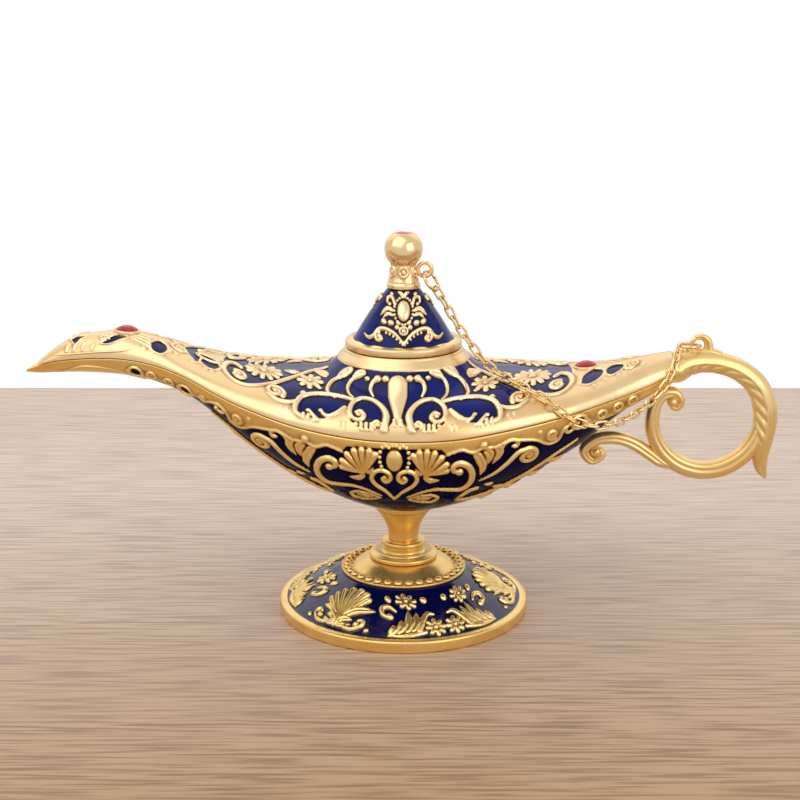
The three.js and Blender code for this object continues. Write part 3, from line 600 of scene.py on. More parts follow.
class RoundRelief(Relief):
    """Relief on a turned surface, drawn round a chosen direction."""

    def __init__(self, profile, count):
        self.radius = profile[:, 0]
        self.turn = around(count)
        steps = np.hypot(np.diff(profile[:, 0]), np.diff(profile[:, 1]))
        slant = np.concatenate([[0], np.cumsum(steps)])
        shape = (len(profile), count)
        super().__init__(np.zeros(shape), np.broadcast_to(slant[:, None], shape))

    def face(self, degrees, side=1):
        """Sets the direction that motifs are drawn round; the front is -90."""
        off = (self.turn - math.radians(degrees) + math.pi) % TAU - math.pi
        self.away = side * off[None, :] * self.radius[:, None]


def stand_out(height, reach):
    """Height against the mean of the neighbouring points, from hollows below to crests above nought."""
    mean = height
    for axis in (0, 1):
        for _ in range(2):
            edges = [(reach + 1, reach) if n == axis else (0, 0) for n in (0, 1)]
            total = np.cumsum(np.pad(mean, edges, mode="edge"), axis=axis)
            size = mean.shape[axis]
            last = np.take(total, np.arange(2 * reach + 1, 2 * reach + 1 + size), axis=axis)
            mean = (last - np.take(total, np.arange(size), axis=axis)) / (2 * reach + 1)
    return height - mean


def turned_relief(outside, inside, count, decorate, ground=0.0):
    """Closed turned skin with relief on its outside, over a sunken ground; inside closes the profile."""
    outside = np.asarray(outside, float)
    inside = np.asarray(inside, float)
    relief = RoundRelief(outside, count)
    decorate(relief)
    along = np.gradient(outside, axis=0)
    along /= np.maximum(np.linalg.norm(along, axis=1, keepdims=True), TINY)
    rise = relief.height - ground
    radius = np.vstack([outside[:, :1] + rise * along[:, 1:], np.repeat(inside[:, :1], count, 1)])
    height = np.vstack([outside[:, 1:] - rise * along[:, :1], np.repeat(inside[:, 1:], count, 1)])
    points = np.stack([radius * np.cos(relief.turn), radius * np.sin(relief.turn), height], -1)
    faces = [grid_faces(numbers(*radius.shape), wrap_rows=True, wrap_columns=True)]
    plain = np.ones((len(inside), count))
    gilt = np.vstack([relief.gilt, plain])
    crest = np.vstack([stand_out(relief.height, CREST_REACH), 0 * plain])
    return points.reshape(-1, 3), faces, gilt, crest


# Hull lines

def hull_line(column):
    """Smooth line through the stations."""
    places = STATIONS[:, 0]
    values = STATIONS[:, column]
    before = np.maximum(np.arange(len(places)) - 1, 0)
    after = np.minimum(np.arange(len(places)) + 1, len(places) - 1)
    slopes = (values[after] - values[before]) / (places[after] - places[before])

    def at(x):
        i = np.clip(np.searchsorted(places, x, side="right") - 1, 0, len(places) - 2)
        span = places[i + 1] - places[i]
        t = np.clip((x - places[i]) / span, 0, 1)
        u = 1 - t
        ends = (1 + 2 * t) * u * u * values[i] + t * t * (3 - 2 * t) * values[i + 1]
        return ends + t * u * span * (u * slopes[i] - t * slopes[i + 1])

    return at


beam_at = hull_line(1)
seam_at = hull_line(2)
ridge_at = hull_line(3)
keel_at = hull_line(4)


def roof_height(x, y, inset=0.0):
    """Upper half: an arch over the hull that rises in a skirt to the collar."""
    bow = dome_over(y / (beam_at(x) - inset))
    arch = seam_at(x) + (ridge_at(x) - inset - seam_at(x)) * bow
    out = np.maximum(np.hypot(x, y) - COLLAR_BASE_RADIUS, 0)
    skirt = COLLAR_BASE - SKIRT_SLOPE * (out + SKIRT_INSET * inset)
    return (arch + skirt + np.hypot(arch - skirt, SKIRT_BLEND * bow)) / 2 + SEAM_GAP / 2


def hull_height(x, y, inset=0.0):
    """Lower half: a bowl down to the keel."""
    bow = dome_over(y / (beam_at(x) - inset))
    depth = seam_at(x) - keel_at(x) - inset
    return seam_at(x) - SEAM_GAP / 2 - depth * bow


def half_section(columns, height_at, rows, inset, hole):
    """Front half of a shell from the seam to the middle, evenly spaced along each section."""
    places = np.zeros((len(columns), rows, 3))
    lengths = np.zeros((len(columns), rows))
    for i, x in enumerate(columns):
        wall = min(inset, END_WALL_SHARE * beam_at(x))
        beam = beam_at(x) - wall
        stop = math.sqrt(max(hole ** 2 - x * x, 0))
        y = beam * np.cos(np.linspace(0, math.acos(min(stop / beam, 1)), SECTION_STEPS))
        z = height_at(np.full(y.shape, x), y, wall)
        length = np.concatenate([[0], np.cumsum(np.hypot(np.diff(y), np.diff(z)))])
        even = np.linspace(0, length[-1], rows)
        places[i, :, 0] = x
        places[i, :, 1] = -np.interp(even, length, y)
        places[i, :, 2] = np.interp(even, length, z) + SEAT
        lengths[i] = even
    return places, lengths


def outward(places, up):
    """Unit normals of a grid of points, facing up or down."""
    normal = np.cross(np.gradient(places, axis=0), np.gradient(places, axis=1))
    normal /= np.maximum(np.linalg.norm(normal, axis=2, keepdims=True), TINY)
    middle = np.sign(normal[:, places.shape[1] // 2, 2]).mean()
    return normal * (up if middle > 0 else -up)


def shell_faces(grids, columns, hole):
    """Faces over the outer and inner grids of both sides, closed at the seam, the hole and the ends."""
    open_middle = np.abs(columns) < hole
    for key in ("out", "in"):
        grids[key, -1][:, -1] = np.where(open_middle, grids[key, -1][:, -1], grids[key, 1][:, -1])
    faces = [grid_faces(grid) for grid in grids.values()]
    middle = np.nonzero(np.abs(columns) < hole + COLUMN_STEP)[0]
    for side in (1, -1):
        faces.append(grid_faces(np.stack([grids["in", side][:, 0], grids["out", side][:, 0]], 1)))
        if hole:
            rim = [grids["out", side][middle, -1], grids["in", side][middle, -1]]
            faces.append(grid_faces(np.stack(rim, 1)))
    for end in (0, -1):
        loop = list(grids["out", 1][end]) + list(grids["out", -1][end][-2::-1])
        loop += list(grids["in", -1][end]) + list(grids["in", 1][end][-2::-1])
        faces.append(np.array([loop]))
    return faces


def shell(height_at, first_x, hole, up, decorate):
    """Closed half of the body with relief on its outside."""
    count = int((REAR_X - first_x) / COLUMN_STEP) + 1
    columns = np.linspace(first_x, REAR_X, count)
    outside, lengths = half_section(columns, height_at, SECTION_ROWS, 0.0, hole)
    inside, _ = half_section(columns, height_at, INNER_ROWS, BODY_WALL, hole)
    relief = Relief(outside[:, :, 0], lengths)
    decorate(relief)
    outside = outside + outward(outside, up) * (relief.height - GROUND)[..., None]
    grids = {}
    points = []
    total = 0
    for key, grid in (("out", outside), ("in", inside)):
        rows, steps = grid.shape[:2]
        for side in (1, -1):
            points.append((grid * (1, side, 1)).reshape(-1, 3))
            grids[key, side] = numbers(rows, steps, total)
            total += rows * steps
    crest = stand_out(relief.height, CREST_REACH).ravel()
    lining = np.ones(2 * inside.shape[0] * inside.shape[1])
    gilt = np.concatenate([relief.gilt.ravel(), relief.gilt.ravel(), lining])
    rise = np.concatenate([crest, crest, 0 * lining])
    return np.vstack(points), shell_faces(grids, columns, hole), gilt, rise


# Materials

class Paint:
    """One material with a single shader and small helpers for its textures."""

    def __init__(self, name):
        self.material = bpy.data.materials.new(name)
        self.material.use_nodes = True
        self.tree = self.material.node_tree
        self.shader = self.tree.nodes["Principled BSDF"]
        self.place = self.node("ShaderNodeTexCoord").outputs["Object"]

    def node(self, kind):
        return self.tree.nodes.new(kind)

    def link(self, source, target):
        self.tree.links.new(source, target)

    def noise(self, per_metre, detail=3.0, stretch=None):
        texture = self.node("ShaderNodeTexNoise")
        texture.inputs["Scale"].default_value = per_metre
        texture.inputs["Detail"].default_value = detail
        place = self.place
        if stretch:
            mapping = self.node("ShaderNodeMapping")
            mapping.inputs["Scale"].default_value = stretch
            self.link(place, mapping.inputs["Vector"])
            place = mapping.outputs["Vector"]
        self.link(place, texture.inputs["Vector"])
        return texture.outputs["Fac"]

    def along(self, axis):
        """Place along one axis, in metres."""
        split = self.node("ShaderNodeSeparateXYZ")
        self.link(self.place, split.inputs[0])
        return split.outputs[axis]

    def layer(self, name):
        attribute = self.node("ShaderNodeAttribute")
        attribute.attribute_name = name
        return attribute.outputs["Fac"]

    def range(self, source, low, high, start=0.0, end=1.0):
        mapped = self.node("ShaderNodeMapRange")
        for key, value in (("From Min", low), ("From Max", high), ("To Min", start), ("To Max", end)):
            mapped.inputs[key].default_value = value
        self.link(source, mapped.inputs["Value"])
        return mapped.outputs["Result"]

    def mix(self, share, first, second):
        """Colour between two colours, each a constant or a socket."""
        blend = self.node("ShaderNodeMix")
        blend.data_type = "RGBA"
        self.link(share, blend.inputs[0])
        self.fill(blend.inputs[6], first)
        self.fill(blend.inputs[7], second)
        return blend.outputs[2]

    def between(self, share, first, second):
        """Number between two sockets."""
        blend = self.node("ShaderNodeMix")
        self.link(share, blend.inputs[0])
        self.link(first, blend.inputs[2])
        self.link(second, blend.inputs[3])
        return blend.outputs[0]

    def bump(self, source, strength, depth_mm):
        bump = self.node("ShaderNodeBump")
        bump.inputs["Strength"].default_value = strength
        bump.inputs["Distance"].default_value = depth_mm * MM
        self.link(source, bump.inputs["Height"])
        self.link(bump.outputs["Normal"], self.shader.inputs["Normal"])

    def fill(self, socket, value):
        """Gives a socket a link, a colour or a number."""
        if isinstance(value, bpy.types.NodeSocket):
            self.link(value, socket)
        elif isinstance(value, tuple):
            socket.default_value = (*value, 1.0)
        else:
            socket.default_value = value

    def set(self, **values):
        for key, value in values.items():
            self.fill(self.shader.inputs[key.replace("_", " ")], value)


def gilt_colours(paint, pale, warm):
    """Gold that drifts between a paler and a warmer tone."""
    return paint.mix(paint.range(paint.noise(55.0, 4.0), 0.35, 0.65), warm, pale)


def gold_paint(name, tones, smooth, rough, metal):
    paint = Paint(name)
    gold = gilt_colours(paint, *tones[:2])
    # Painted shade: the gold darkens in the hollows of the relief
    gold = paint.mix(paint.range(paint.layer("relief"), -0.3, -0.02), GOLD_HOLLOW_SHADE, gold)
    paint.set(Base_Color=gold, Metallic=metal)
    paint.set(Roughness=paint.range(paint.noise(130.0, 4.0), 0.3, 0.7, smooth, rough))
    paint.bump(paint.noise(900.0, 2.0), 0.12, 0.08)
    return paint.material


def enamel_paint(name, blues, golds, gloss):
    """Blue enamel between raised gilding, darkened beside the gilt edges as painted shade; the mask, the
    painted highlight on crests and the painted shade in hollows come from the relief.
    """
    paint = Paint(name)
    gilt = paint.layer("gilt")
    relief = paint.layer("relief")
    mask = paint.range(gilt, -0.06, 0.06)
    cloud = paint.range(paint.noise(70.0, 3.0), 0.3, 0.7)
    blue = paint.mix(cloud, *blues)
    # Painted shade: the enamel darkens beside the gilt edges
    blue = paint.mix(paint.range(gilt, -0.9, -0.05), blue, ENAMEL_EDGE_SHADE)
    pale, warm, crest = golds
    gold = gilt_colours(paint, pale, warm)
    # Painted highlight: the gold pales on the crests of the relief
    gold = paint.mix(paint.range(relief, 0.03, 0.22), gold, crest)
    # Painted shade: the gold darkens in the hollows of the relief
    gold = paint.mix(paint.range(relief, -0.18, -0.02), GOLD_HOLLOW_SHADE, gold)
    wear = paint.noise(160.0, 4.0)
    glaze = paint.range(wear, 0.3, 0.7, 0.08, 0.15)
    satin = paint.range(wear, 0.3, 0.7, 0.24, 0.34)
    paint.set(Base_Color=paint.mix(mask, blue, gold), Roughness=paint.between(mask, glaze, satin))
    paint.set(Metallic=paint.range(gilt, -0.06, 0.06, 0.0, 0.85), Specular_IOR_Level=gloss)
    paint.bump(paint.noise(420.0, 3.0), 0.1, 0.12)
    return paint.material


def stone_paint(name):
    paint = Paint(name)
    cloud = paint.range(paint.noise(320.0, 3.0), 0.35, 0.65)
    paint.set(Base_Color=paint.mix(cloud, *RUBY))
    paint.set(Roughness=paint.range(paint.noise(500.0, 2.0), 0.3, 0.7, 0.03, 0.08))
    paint.set(Specular_IOR_Level=0.35, Coat_Weight=0.1, Coat_Roughness=0.03)
    return paint.material


def steel_paint(name):
    paint = Paint(name)
    grain = paint.noise(500.0, 4.0, (1.0, 1.0, 0.05))
    paint.set(Base_Color=paint.mix(grain, *STEEL), Metallic=1.0)
    paint.set(Roughness=paint.range(grain, 0.3, 0.7, 0.28, 0.42))
    paint.bump(grain, 0.1, 0.05)
    return paint.material


def floor_paint(name):
    """Pale wood, painted paler towards its far edge as a painted sheen, with broad streaks and short fine
    grain along X.
    """
    paint = Paint(name)
    # Painted sheen: share of the paler far tones, rising away from the camera
    far_sheen = paint.range(paint.along("Y"), SHEEN_START_Y * MM, SHEEN_FULL_Y * MM)
    streak = paint.noise(90.0, 3.0, (0.03, 1.0, 1.0))
    grain = paint.noise(800.0, 2.0, (0.05, 1.0, 1.0))
    dark, pale = (paint.mix(far_sheen, near, away) for near, away in zip(WOOD_NEAR, WOOD_FAR_PAINTED_SHEEN))
    wood = paint.mix(paint.range(grain, 0.38, 0.56), dark, pale)
    paint.set(Base_Color=paint.mix(paint.range(streak, 0.3, 0.7, 0.0, 0.45), wood, pale))
    paint.set(Roughness=paint.range(grain, 0.3, 0.7, 0.45, 0.6))
    paint.bump(grain, 0.1, 0.2)
    return paint.material


cobalt = enamel_paint("cobalt_enamel_and_gilding", COBALT, GOLD, 0.2)
# Painted shade: the lower half's enamel is a darker copy of the upper half's
navy_painted_shade = enamel_paint("navy_enamel_painted_shade_and_gilding", NAVY_PAINTED_SHADE, RICH_GOLD_PAINTED_SHADE, 0.03)
glossy_navy = enamel_paint("foot_enamel_and_gilding", FOOT_NAVY, RICH_GOLD_PAINTED_SHADE, 0.6)
gold = gold_paint("polished_gilding", GOLD, 0.16, 0.24, 0.9)
# Painted shade and painted reflection of the table: the deeper, warmer gold for dome, knop and stem, as for
# the gilding of the lower half and foot
rich_gold_painted_shade = gold_paint("rich_gilding_painted_shade", RICH_GOLD_PAINTED_SHADE, 0.22, 0.36, 0.75)
satin_gold = gold_paint("satin_gilding", SATIN_GOLD, 0.24, 0.36, 0.7)
chain_gold = gold_paint("chain_gilding", CHAIN_GOLD, 0.16, 0.26, 1.0)
ruby = stone_paint("red_glass")
steel = steel_paint("plain_steel")


# Ornament on the upper half, in millimetres from the middle and up from the seam

def upper_band(relief):
    """Plain gilding above the seam, which takes over towards spout and rear."""
    away = (0, 2.2, 5, 8, 11, 12.8, 14.2, 15.2, 17.4, 20.2, 23.4, 26.4, 27.8, 28.8, 30.5, 33.5, 35.6, 36.4,
            38.5, 41.2, 45.1, 47.7, 49.6, 50.6, 52)
    edge = (8, 4.6, 3.6, 3.3, 3.6, 5, 9.6, 8.1, 5.7, 4.4, 3.8, 4.4, 5, 8.2, 7, 7, 8.5, 13,
            11, 9.2, 8.6, 9.9, 13.1, 20, 60)
    relief.band(np.interp(np.abs(relief.across - UPPER_MIDDLE), away, edge))


def upper_scrolls(draw):
    """Drop, C-scroll beside it, the long window with its hooks, and buds under the collar."""
    draw.line([(0, 18.6), (0, 13), (0, 7.6)], (2.8, 2.7, 1.9, 1.2), 1.0)
    draw.line([(0.9, 6.4), (0.9, 4.6)], (0.55, 0.7), 0.8)
    draw.line([(3.9, 3.2), (3.1, 7.5), (4.4, 11), (7, 13.5), (10.2, 13.9), (12.6, 11.5), (13.2, 8),
               (12.2, 6), (10.4, 5.7), (9.3, 7.2), (10.2, 8.8), (11.4, 8.2)],
              (1.2, 0.85, 0.75, 0.7, 0.75, 0.7, 0.55), 0.95)
    for away in (7.2, 8.6, 10):
        draw.line([(away, 2.8), (away, 4.7)], (0.6, 0.6), 0.8)
    draw.beads([(10.8, 7.5, 0.75), (5.4, 4.5, 0.95), (11.4, 4.3, 0.7)])
    draw.line([(6.4, 3.6), (6.6, 5), (5.6, 5.7), (4.8, 5)], (0.5, 0.5, 0.4))
    draw.line([(12.4, 12.8), (16.3, 14), (21.9, 13.9), (26.4, 11.5), (28.2, 7.7), (28.3, 4.6), (26.9, 3.4)],
              (0.7, 0.75, 0.75, 0.8, 0.8, 0.8), 0.95)
    draw.line([(14.6, 9.4), (16.6, 7), (18.8, 5.4), (20.4, 5.8), (21.2, 7.2)], (0.7, 0.8, 0.8, 0.6, 0.4))
    draw.line([(22, 3.4), (23.2, 4.6), (24.6, 6.4)], (0.8, 0.7, 0.35))
    draw.beads([(24.9, 6.1, 0.55), (21.4, 7, 0.55)])
    for away in (23, 24.6, 26):
        draw.line([(away, 3), (away, 4.6)], (0.55, 0.55), 0.75)
    for away in (14.6, 15.9):
        draw.line([(away, 4), (away, 2.4)], (0.55, 0.3), 0.7)
    draw.line([(5.7, 20.6), (7.2, 19.4), (7.6, 17.3), (6.8, 15)], (1, 0.6, 0.5, 0.3))
    draw.line([(11.6, 22.4), (13.3, 21), (14, 18.6), (13.6, 15.8), (12.2, 13.6)],
              (0.6, 0.55, 0.5, 0.45, 0.4))
    draw.line([(15.4, 24.2), (18.2, 22.2), (19.6, 18.4), (19.5, 15.4), (17.6, 13.4)],
              (0.6, 0.6, 0.6, 0.55, 0.45))
    draw.leaf([(9.6, 23), (11, 22.9), (13, 21.6)], 1.5, 0.95)
    draw.leaf([(13.2, 25.2), (15.2, 24.8), (17.4, 23)], 1.7, 0.95)
    draw.beads([(3.4, 20.4, 1.05), (5.7, 20.6, 1.15), (8.6, 21, 0.75)], 0.9)


def upper_flowers(draw):
    """Rosette, bead, volute, long S-band and daisy towards each end."""
    draw.daisy(24.8, 20.4, 3.2, 3.6, 8)
    draw.beads([(26.4, 12.9, 1), (21.9, 17.2, 0.6)])
    draw.leaf([(20.6, 24.6), (21.8, 27.4), (24.6, 29.6)], 1.6)
    draw.leaf([(28.4, 26.4), (30.6, 25.6), (33, 26.2)], 1.2)
    draw.volute(34.4, 10.4, 2.7, 215, -1.5, 0.75, 0.9)
    draw.line([(28.6, 8.2), (30.4, 7.2), (33.4, 6.9), (36.2, 8.4)], (0.6, 0.75, 0.75, 0.6), 0.9)
    draw.line([(20.4, 31.6), (24.6, 28.6), (28.3, 23.4), (32.2, 18.2), (36.2, 13.4), (41.2, 9.4), (45.1, 8.4),
               (48, 9.8), (49.8, 13.2), (49.6, 18), (47.4, 20.4), (45.2, 19.2)],
              (0.4, 0.65, 0.7, 0.75, 0.85, 0.9, 0.85, 0.7), 0.95)
    draw.volute(45.4, 13.2, 2.3, 60, 1.3, 0.75, 0.9)
    draw.daisy(38.6, 21.4, 5, 5, 12)
    draw.line([(30.6, 4.6), (31.2, 3)], (0.5, 0.25), 0.7)
    draw.line([(32.2, 4.9), (32.8, 3.2)], (0.5, 0.25), 0.7)


def drops(draw, places, lean):
    for x, up in places:
        draw.line([(x, up), (x + lean, up - 2.2)], (0.9, 0.35), 0.8, 0.2)


def upper_spout(draw):
    """Cells, loop, drops and shell flutes along the spout."""
    ridge = draw.up[np.abs(draw.across[:, 0] - FAR_CELL_X).argmin(), -1]
    draw.cell([(-52.6, 12.4), (-54.4, 15.4), (-57.2, 14.2), (-58.2, 11), (-56.6, 9), (-54.2, 9.4)], 0.4)
    draw.cell([(-63.8, 15.4), (-61.2, 17.2), (-58.8, 16.2), (-58.9, 12), (-59.2, 8.6), (-60.8, 10.2),
               (-62.4, 12.2)], 0.35)
    draw.cell([(-72.8, 7.4), (-70.8, 10.6), (-68.6, 9.6), (-68, 7), (-69.4, 4.4), (-71.8, 4.8)], 0.4)
    draw.cell([(-86.8, 4.4), (-84.6, 4.4), (-82, 5.8), (-79.8, 7.4), (-82.2, 7.9), (-84.4, 7)], 0.3)
    draw.cell([(-96.2, 6.6), (-94.4, 7.5), (-91.8, 7.1), (-93.4, 6.2), (-94.6, 4.6)], 0.3)
    draw.cell([(-53, 0.8 * ridge), (-56.5, 0.72 * ridge), (-59.8, 0.76 * ridge), (-57, 0.86 * ridge)], 0.35)
    draw.ring(-65, 11.8, 2.3, 1.9, 0.45, -15, 0.95)
    draw.ring(-65, 11.8, 1.1, 0.9, 0.35, -15, 0.9)
    drops(draw, ((-60.4, 7.6), (-65.2, 7.8), (-67.2, 7), (-74.4, 4.4), (-56.4, 7.6), (-54.6, 7.8)), -0.4)
    draw.volute(-86.2, 6.4, 1.3, 0, 1.2, 0.5, 0.8)
    for lift in (0, 1.3, 2.6, 3.9):
        draw.line([(-79, 7.8 + 0.3 * lift), (-76.4, 6.8 + lift), (-73.2, 5.6 + 1.15 * lift)],
                  (0.35, 0.6, 0.7), 0.8)
    for x in (-97.2, -95, -92.4, -89.6):
        draw.line([(x + 0.8, 5), (x + 0.3, 3.6), (x, 2.2)], (0.3, 0.6, 0.45), 0.8)
    draw.line([(-104, 1.6), (-97, 1.4), (-89, 1.6), (-81, 2.2), (-77, 3.6)], (0.2, 0.3, 0.35, 0.2), 0.7)


def upper_rear(draw):
    """Cells, loop and drops towards the handle."""
    draw.cell([(50.6, 10), (53, 8.8), (56.4, 10.4), (57.6, 14), (55.2, 17), (51.8, 14.4)], 0.4)
    draw.cell([(58.6, 10.6), (60.2, 9.2), (63.2, 10.6), (63.6, 13.2), (61.2, 15.2), (58.8, 13.8)], 0.4)
    draw.ring(66, 10.2, 2.1, 1.7, 0.4, 15, 0.95)
    draw.ring(66, 10.2, 1, 0.8, 0.35, 15, 0.9)
    drops(draw, ((54, 7.2), (57.6, 8.2), (61.6, 8), (65.4, 6.8), (69.2, 8)), 0.4)


def decorate_upper(relief):
    upper_band(relief)
    upper_spout(relief)
    upper_rear(relief)
    for side in (-1, 1):
        relief.aim(UPPER_MIDDLE, side)
        upper_scrolls(relief)
        upper_flowers(relief)


# Ornament on the lower half, in millimetres from the middle and down from the seam

def lower_band(relief):
    """Gilding below the seam with a raised line along its edge."""
    away = (0, 13, 14.5, 16.1, 18.8, 21.6, 24.6, 28, 30, 32.3, 35.6, 39.5, 43.1, 46, 47.4, 49.2, 51.6, 54, 57,
            62, 68, 72, 76, 120)
    edge = (1.6, 2.2, 4, 3.5, 3, 4.2, 3.4, 3.8, 3.2, 2.7, 3.5, 4.6, 7, 6.4, 3.4, 2.7, 3, 4.6, 5.2,
            5.4, 5.6, 7, 40, 40)
    relief.band(np.interp(np.abs(relief.across - LOWER_MIDDLE), away, edge))
    for side in (-1, 1):
        relief.aim(LOWER_MIDDLE, side)
        relief.line(list(zip(away[2:18], edge[2:18])), 0.45)


def lower_medallion(draw):
    """Oval boss, crown of dots, bead columns and heart."""
    draw.oval(0, 5.5, 2.3, 3.5, 0, 1.1)
    draw.beads([(0.5, 0.9, 0.5), (1.5, 1.5, 0.55), (2.4, 1, 0.5), (3.3, 1.6, 0.5)], 1.1)
    draw.beads([(3.9, 2.9, 0.6), (4.1, 4.5, 0.6), (4, 6.1, 0.6), (3.6, 7.5, 0.6)], 0.8)
    draw.line([(0.1, 20.6), (2.4, 16.9), (5.2, 14.2), (6.3, 11.9), (5.5, 9.6), (3.5, 8.7), (1.5, 9.7),
               (1.1, 11.7), (2.3, 12.9), (3.3, 11.9), (2.6, 10.9)],
              (0.4, 0.6, 0.7, 0.7, 0.65, 0.6, 0.5), 1.0)
    draw.beads([(2.3, 11.6, 0.6)])


def lower_sides(draw):
    """Fan shell, leaves, C-scroll, acanthus trio and hook on one side."""
    draw.fan((8.4, 10.4), [(14.4, 9), (14.3, 7), (13, 4.7), (11.1, 3.3), (9, 2.8), (6.9, 2.9), (5.3, 3.8)],
             1.05, 1.15)
    draw.leaf([(8.2, 10.4), (9.8, 12.2), (12.6, 12.6)], 1, 0.95)
    draw.leaf([(8, 9.8), (6.6, 9.4), (5.8, 7.8)], 0.8, 0.95)
    draw.line([(17.9, 9.8), (16.6, 9.6), (16.3, 8), (18.2, 7.1), (20.6, 8.7), (21.7, 11.9), (21, 15.4),
               (18.6, 17.6), (15.2, 17), (11.6, 16.3), (7.8, 17.2), (3.6, 19.6)],
              (0.6, 0.85, 1.05, 1.05, 0.95, 0.85, 0.7, 0.5, 0.3), 1.0)
    draw.beads([(18, 10, 1.25)], 1.15)
    draw.line([(3.9, 20.6), (7, 18.9), (10.2, 18.7), (12.2, 20.6), (10.6, 22.6), (7, 22.2), (4.2, 20.9)],
              (0.3, 0.45, 0.45, 0.45, 0.3), 0.9)
    draw.leaf([(5.6, 20.6), (8.4, 20.6), (11, 20.8)], 0.95)
    draw.line([(23.2, 18.9), (21.2, 19.2), (19.2, 21.4), (17.4, 23.8)], (0.7, 0.8, 0.6, 0.3), 0.9)
    draw.leaf([(27.8, 2.8), (29.2, 5.6), (27.4, 9.4)], 1.3, 1.0)
    draw.leaf([(24.9, 4), (26.4, 5.6), (25.9, 9.2)], 1.4, 1.05)
    draw.leaf([(21.8, 3.9), (23.4, 6), (24.6, 9.6), (24, 13)], 1.4, 1.0)
    draw.beads([(24.7, 2.6, 1.15)], 1.0)
    draw.line([(29.4, 6.2), (30.4, 3.6), (32.6, 2.7), (34.4, 3.8), (33.8, 5.1), (32.9, 4.7)],
              (0.5, 0.6, 0.55, 0.45))
    draw.beads([(33.4, 4.7, 0.65)])
    draw.volute(37.4, 9.4, 2.7, 250, 1.5, 0.85, 0.95)
    draw.line([(36.4, 6.9), (34.4, 7.4), (31.3, 10.6), (27.8, 13.4), (23.8, 15.2)],
              (0.8, 0.8, 0.7, 0.55, 0.3), 0.95)
    draw.oval(29.4, 21.6, 1.8, 0.8, 15)
    draw.oval(26.6, 18.2, 1.4, 0.7, 10)
    draw.volute(44.2, 4.2, 1.6, 60, 1.3, 0.6, 0.95)
    draw.beads([(40.6, 2.5, 0.85)])
    draw.line([(51.8, 3), (49.6, 2.3), (48, 3.4), (48.6, 4.9), (50, 4.6)], (0.5, 0.6, 0.6, 0.45), 0.9)
    draw.beads([(50.3, 4.2, 0.7), (54.2, 3.6, 1.5)], 0.95)


def lower_vine(draw):
    """Vine with leaves along the underside."""
    draw.line([(17.5, 24.4), (22.5, 25.2), (28.5, 23.4), (34.5, 20.4), (40.5, 16.6), (46, 12.6), (52, 9.4)],
              (0.5, 0.65, 0.7, 0.65, 0.6, 0.5, 0.3), 0.95)
    draw.leaf([(24, 25), (25.4, 28.6), (29, 30.2)], 1.4, 1.0)
    draw.leaf([(31, 22.4), (32.6, 25.8), (36.4, 27.2)], 1.3, 1.0)
    draw.leaf([(37.4, 18.8), (39.4, 21.8), (43.2, 22.4)], 1.2, 1.0)
    draw.leaf([(43.4, 14.6), (45.6, 16.8), (49.4, 16.6)], 1.1, 1.0)


def lower_ends(draw):
    """Dark bosses and ringed beads along the band at spout and rear."""
    for x, up in ((-62.1, 4.5), (-77, 3.6), (49.4, 2.8)):
        draw.hollow(x, up + 0.4, 1.9, 1.8)
        draw.ring(x, up, 2.1, 2, 0.4, 0, 0.95)
    for x, up in ((-67, 3.9), (-72.2, 3.5), (56.2, 2.9), (61.1, 2.5), (65.6, 2.2)):
        draw.ring(x, up, 1.4, 1.3, 0.4, 0, 0.9)
        draw.bead(x, up, 0.75)
    draw.line([(-104, 2.2), (-99, 3.6), (-93, 2.2), (-86, 3), (-80, 4.4)], (0.25, 0.5, 0.5, 0.3))
    draw.beads([(-95, 3.4, 0.6), (68.6, 2, 0.55), (71.4, 2, 0.55), (74.2, 2, 0.55)])


def decorate_lower(relief):
    lower_band(relief)
    relief.aim(0)
    lower_ends(relief)
    for side in (-1, 1):
        relief.aim(LOWER_MIDDLE, side)
        lower_medallion(relief)
        lower_sides(relief)
        lower_vine(relief)


# Ornament on the lid and foot, in millimetres round from the middle and up the slope

def lid_cartouche(draw):
    """Beaded oval with curls, leaves, berries and a festoon on one side."""
    draw.oval(0, 11.6, 1.9, 3.3, 0, 1.0)
    for turn in around(22):
        draw.bead(2.8 * math.cos(turn), 11.6 + 4.3 * math.sin(turn), 0.42, 0.6)
    draw.bead(0, 5.4, 0.75)
    draw.ring(0, 5.4, 1.2, 1.2, 0.25)
    draw.leaf([(0, 15.6), (0.7, 17), (1.7, 17.6)], 0.6, 0.8, 0.5)
    draw.line([(2.6, 13.6), (3.4, 15.6), (4.9, 15.4), (5.1, 14)], (0.5, 0.6, 0.5, 0.3), 0.8)
    draw.beads([(4.3, 13.6, 0.6), (3.7, 16.7, 0.65)])
    draw.leaf([(2.8, 11.4), (4.8, 12), (7.4, 9.8)], 0.75, 0.9, 0.5)
    draw.leaf([(2.8, 10), (4.6, 10.4), (6.4, 9)], 0.6, 0.9, 0.5)
    draw.beads([(1.9, 6.5, 0.75), (3.8, 7.8, 0.95), (6, 8, 0.95), (1.6, 7.9, 0.6)])
    draw.line([(0, 1.6), (2.4, 4.4), (5.2, 5.8), (7.6, 5.4), (9.4, 3.4), (11.4, 2.6), (13.4, 3.4)],
              (0.35, 0.6, 0.7, 0.6, 0.55, 0.25))
    draw.beads([(1, 1.9, 0.4), (2, 2.9, 0.4), (3, 3.7, 0.4), (4.1, 4.3, 0.4), (5.2, 4.6, 0.4)], 0.6)
    draw.volute(7.4, 3.2, 1.4, 90, -1.2, 0.5, 0.8)
    draw.line([(0.3, 1.2), (0.3, 2.2)], 0.35, 0.7)


def lid_side(draw):
    """Small curl between the cartouches."""
    draw.line([(0, 13), (0.8, 14.8), (2, 15), (2.2, 13.9)], (0.4, 0.5, 0.3), 0.8)
    draw.bead(0, 12, 0.6)


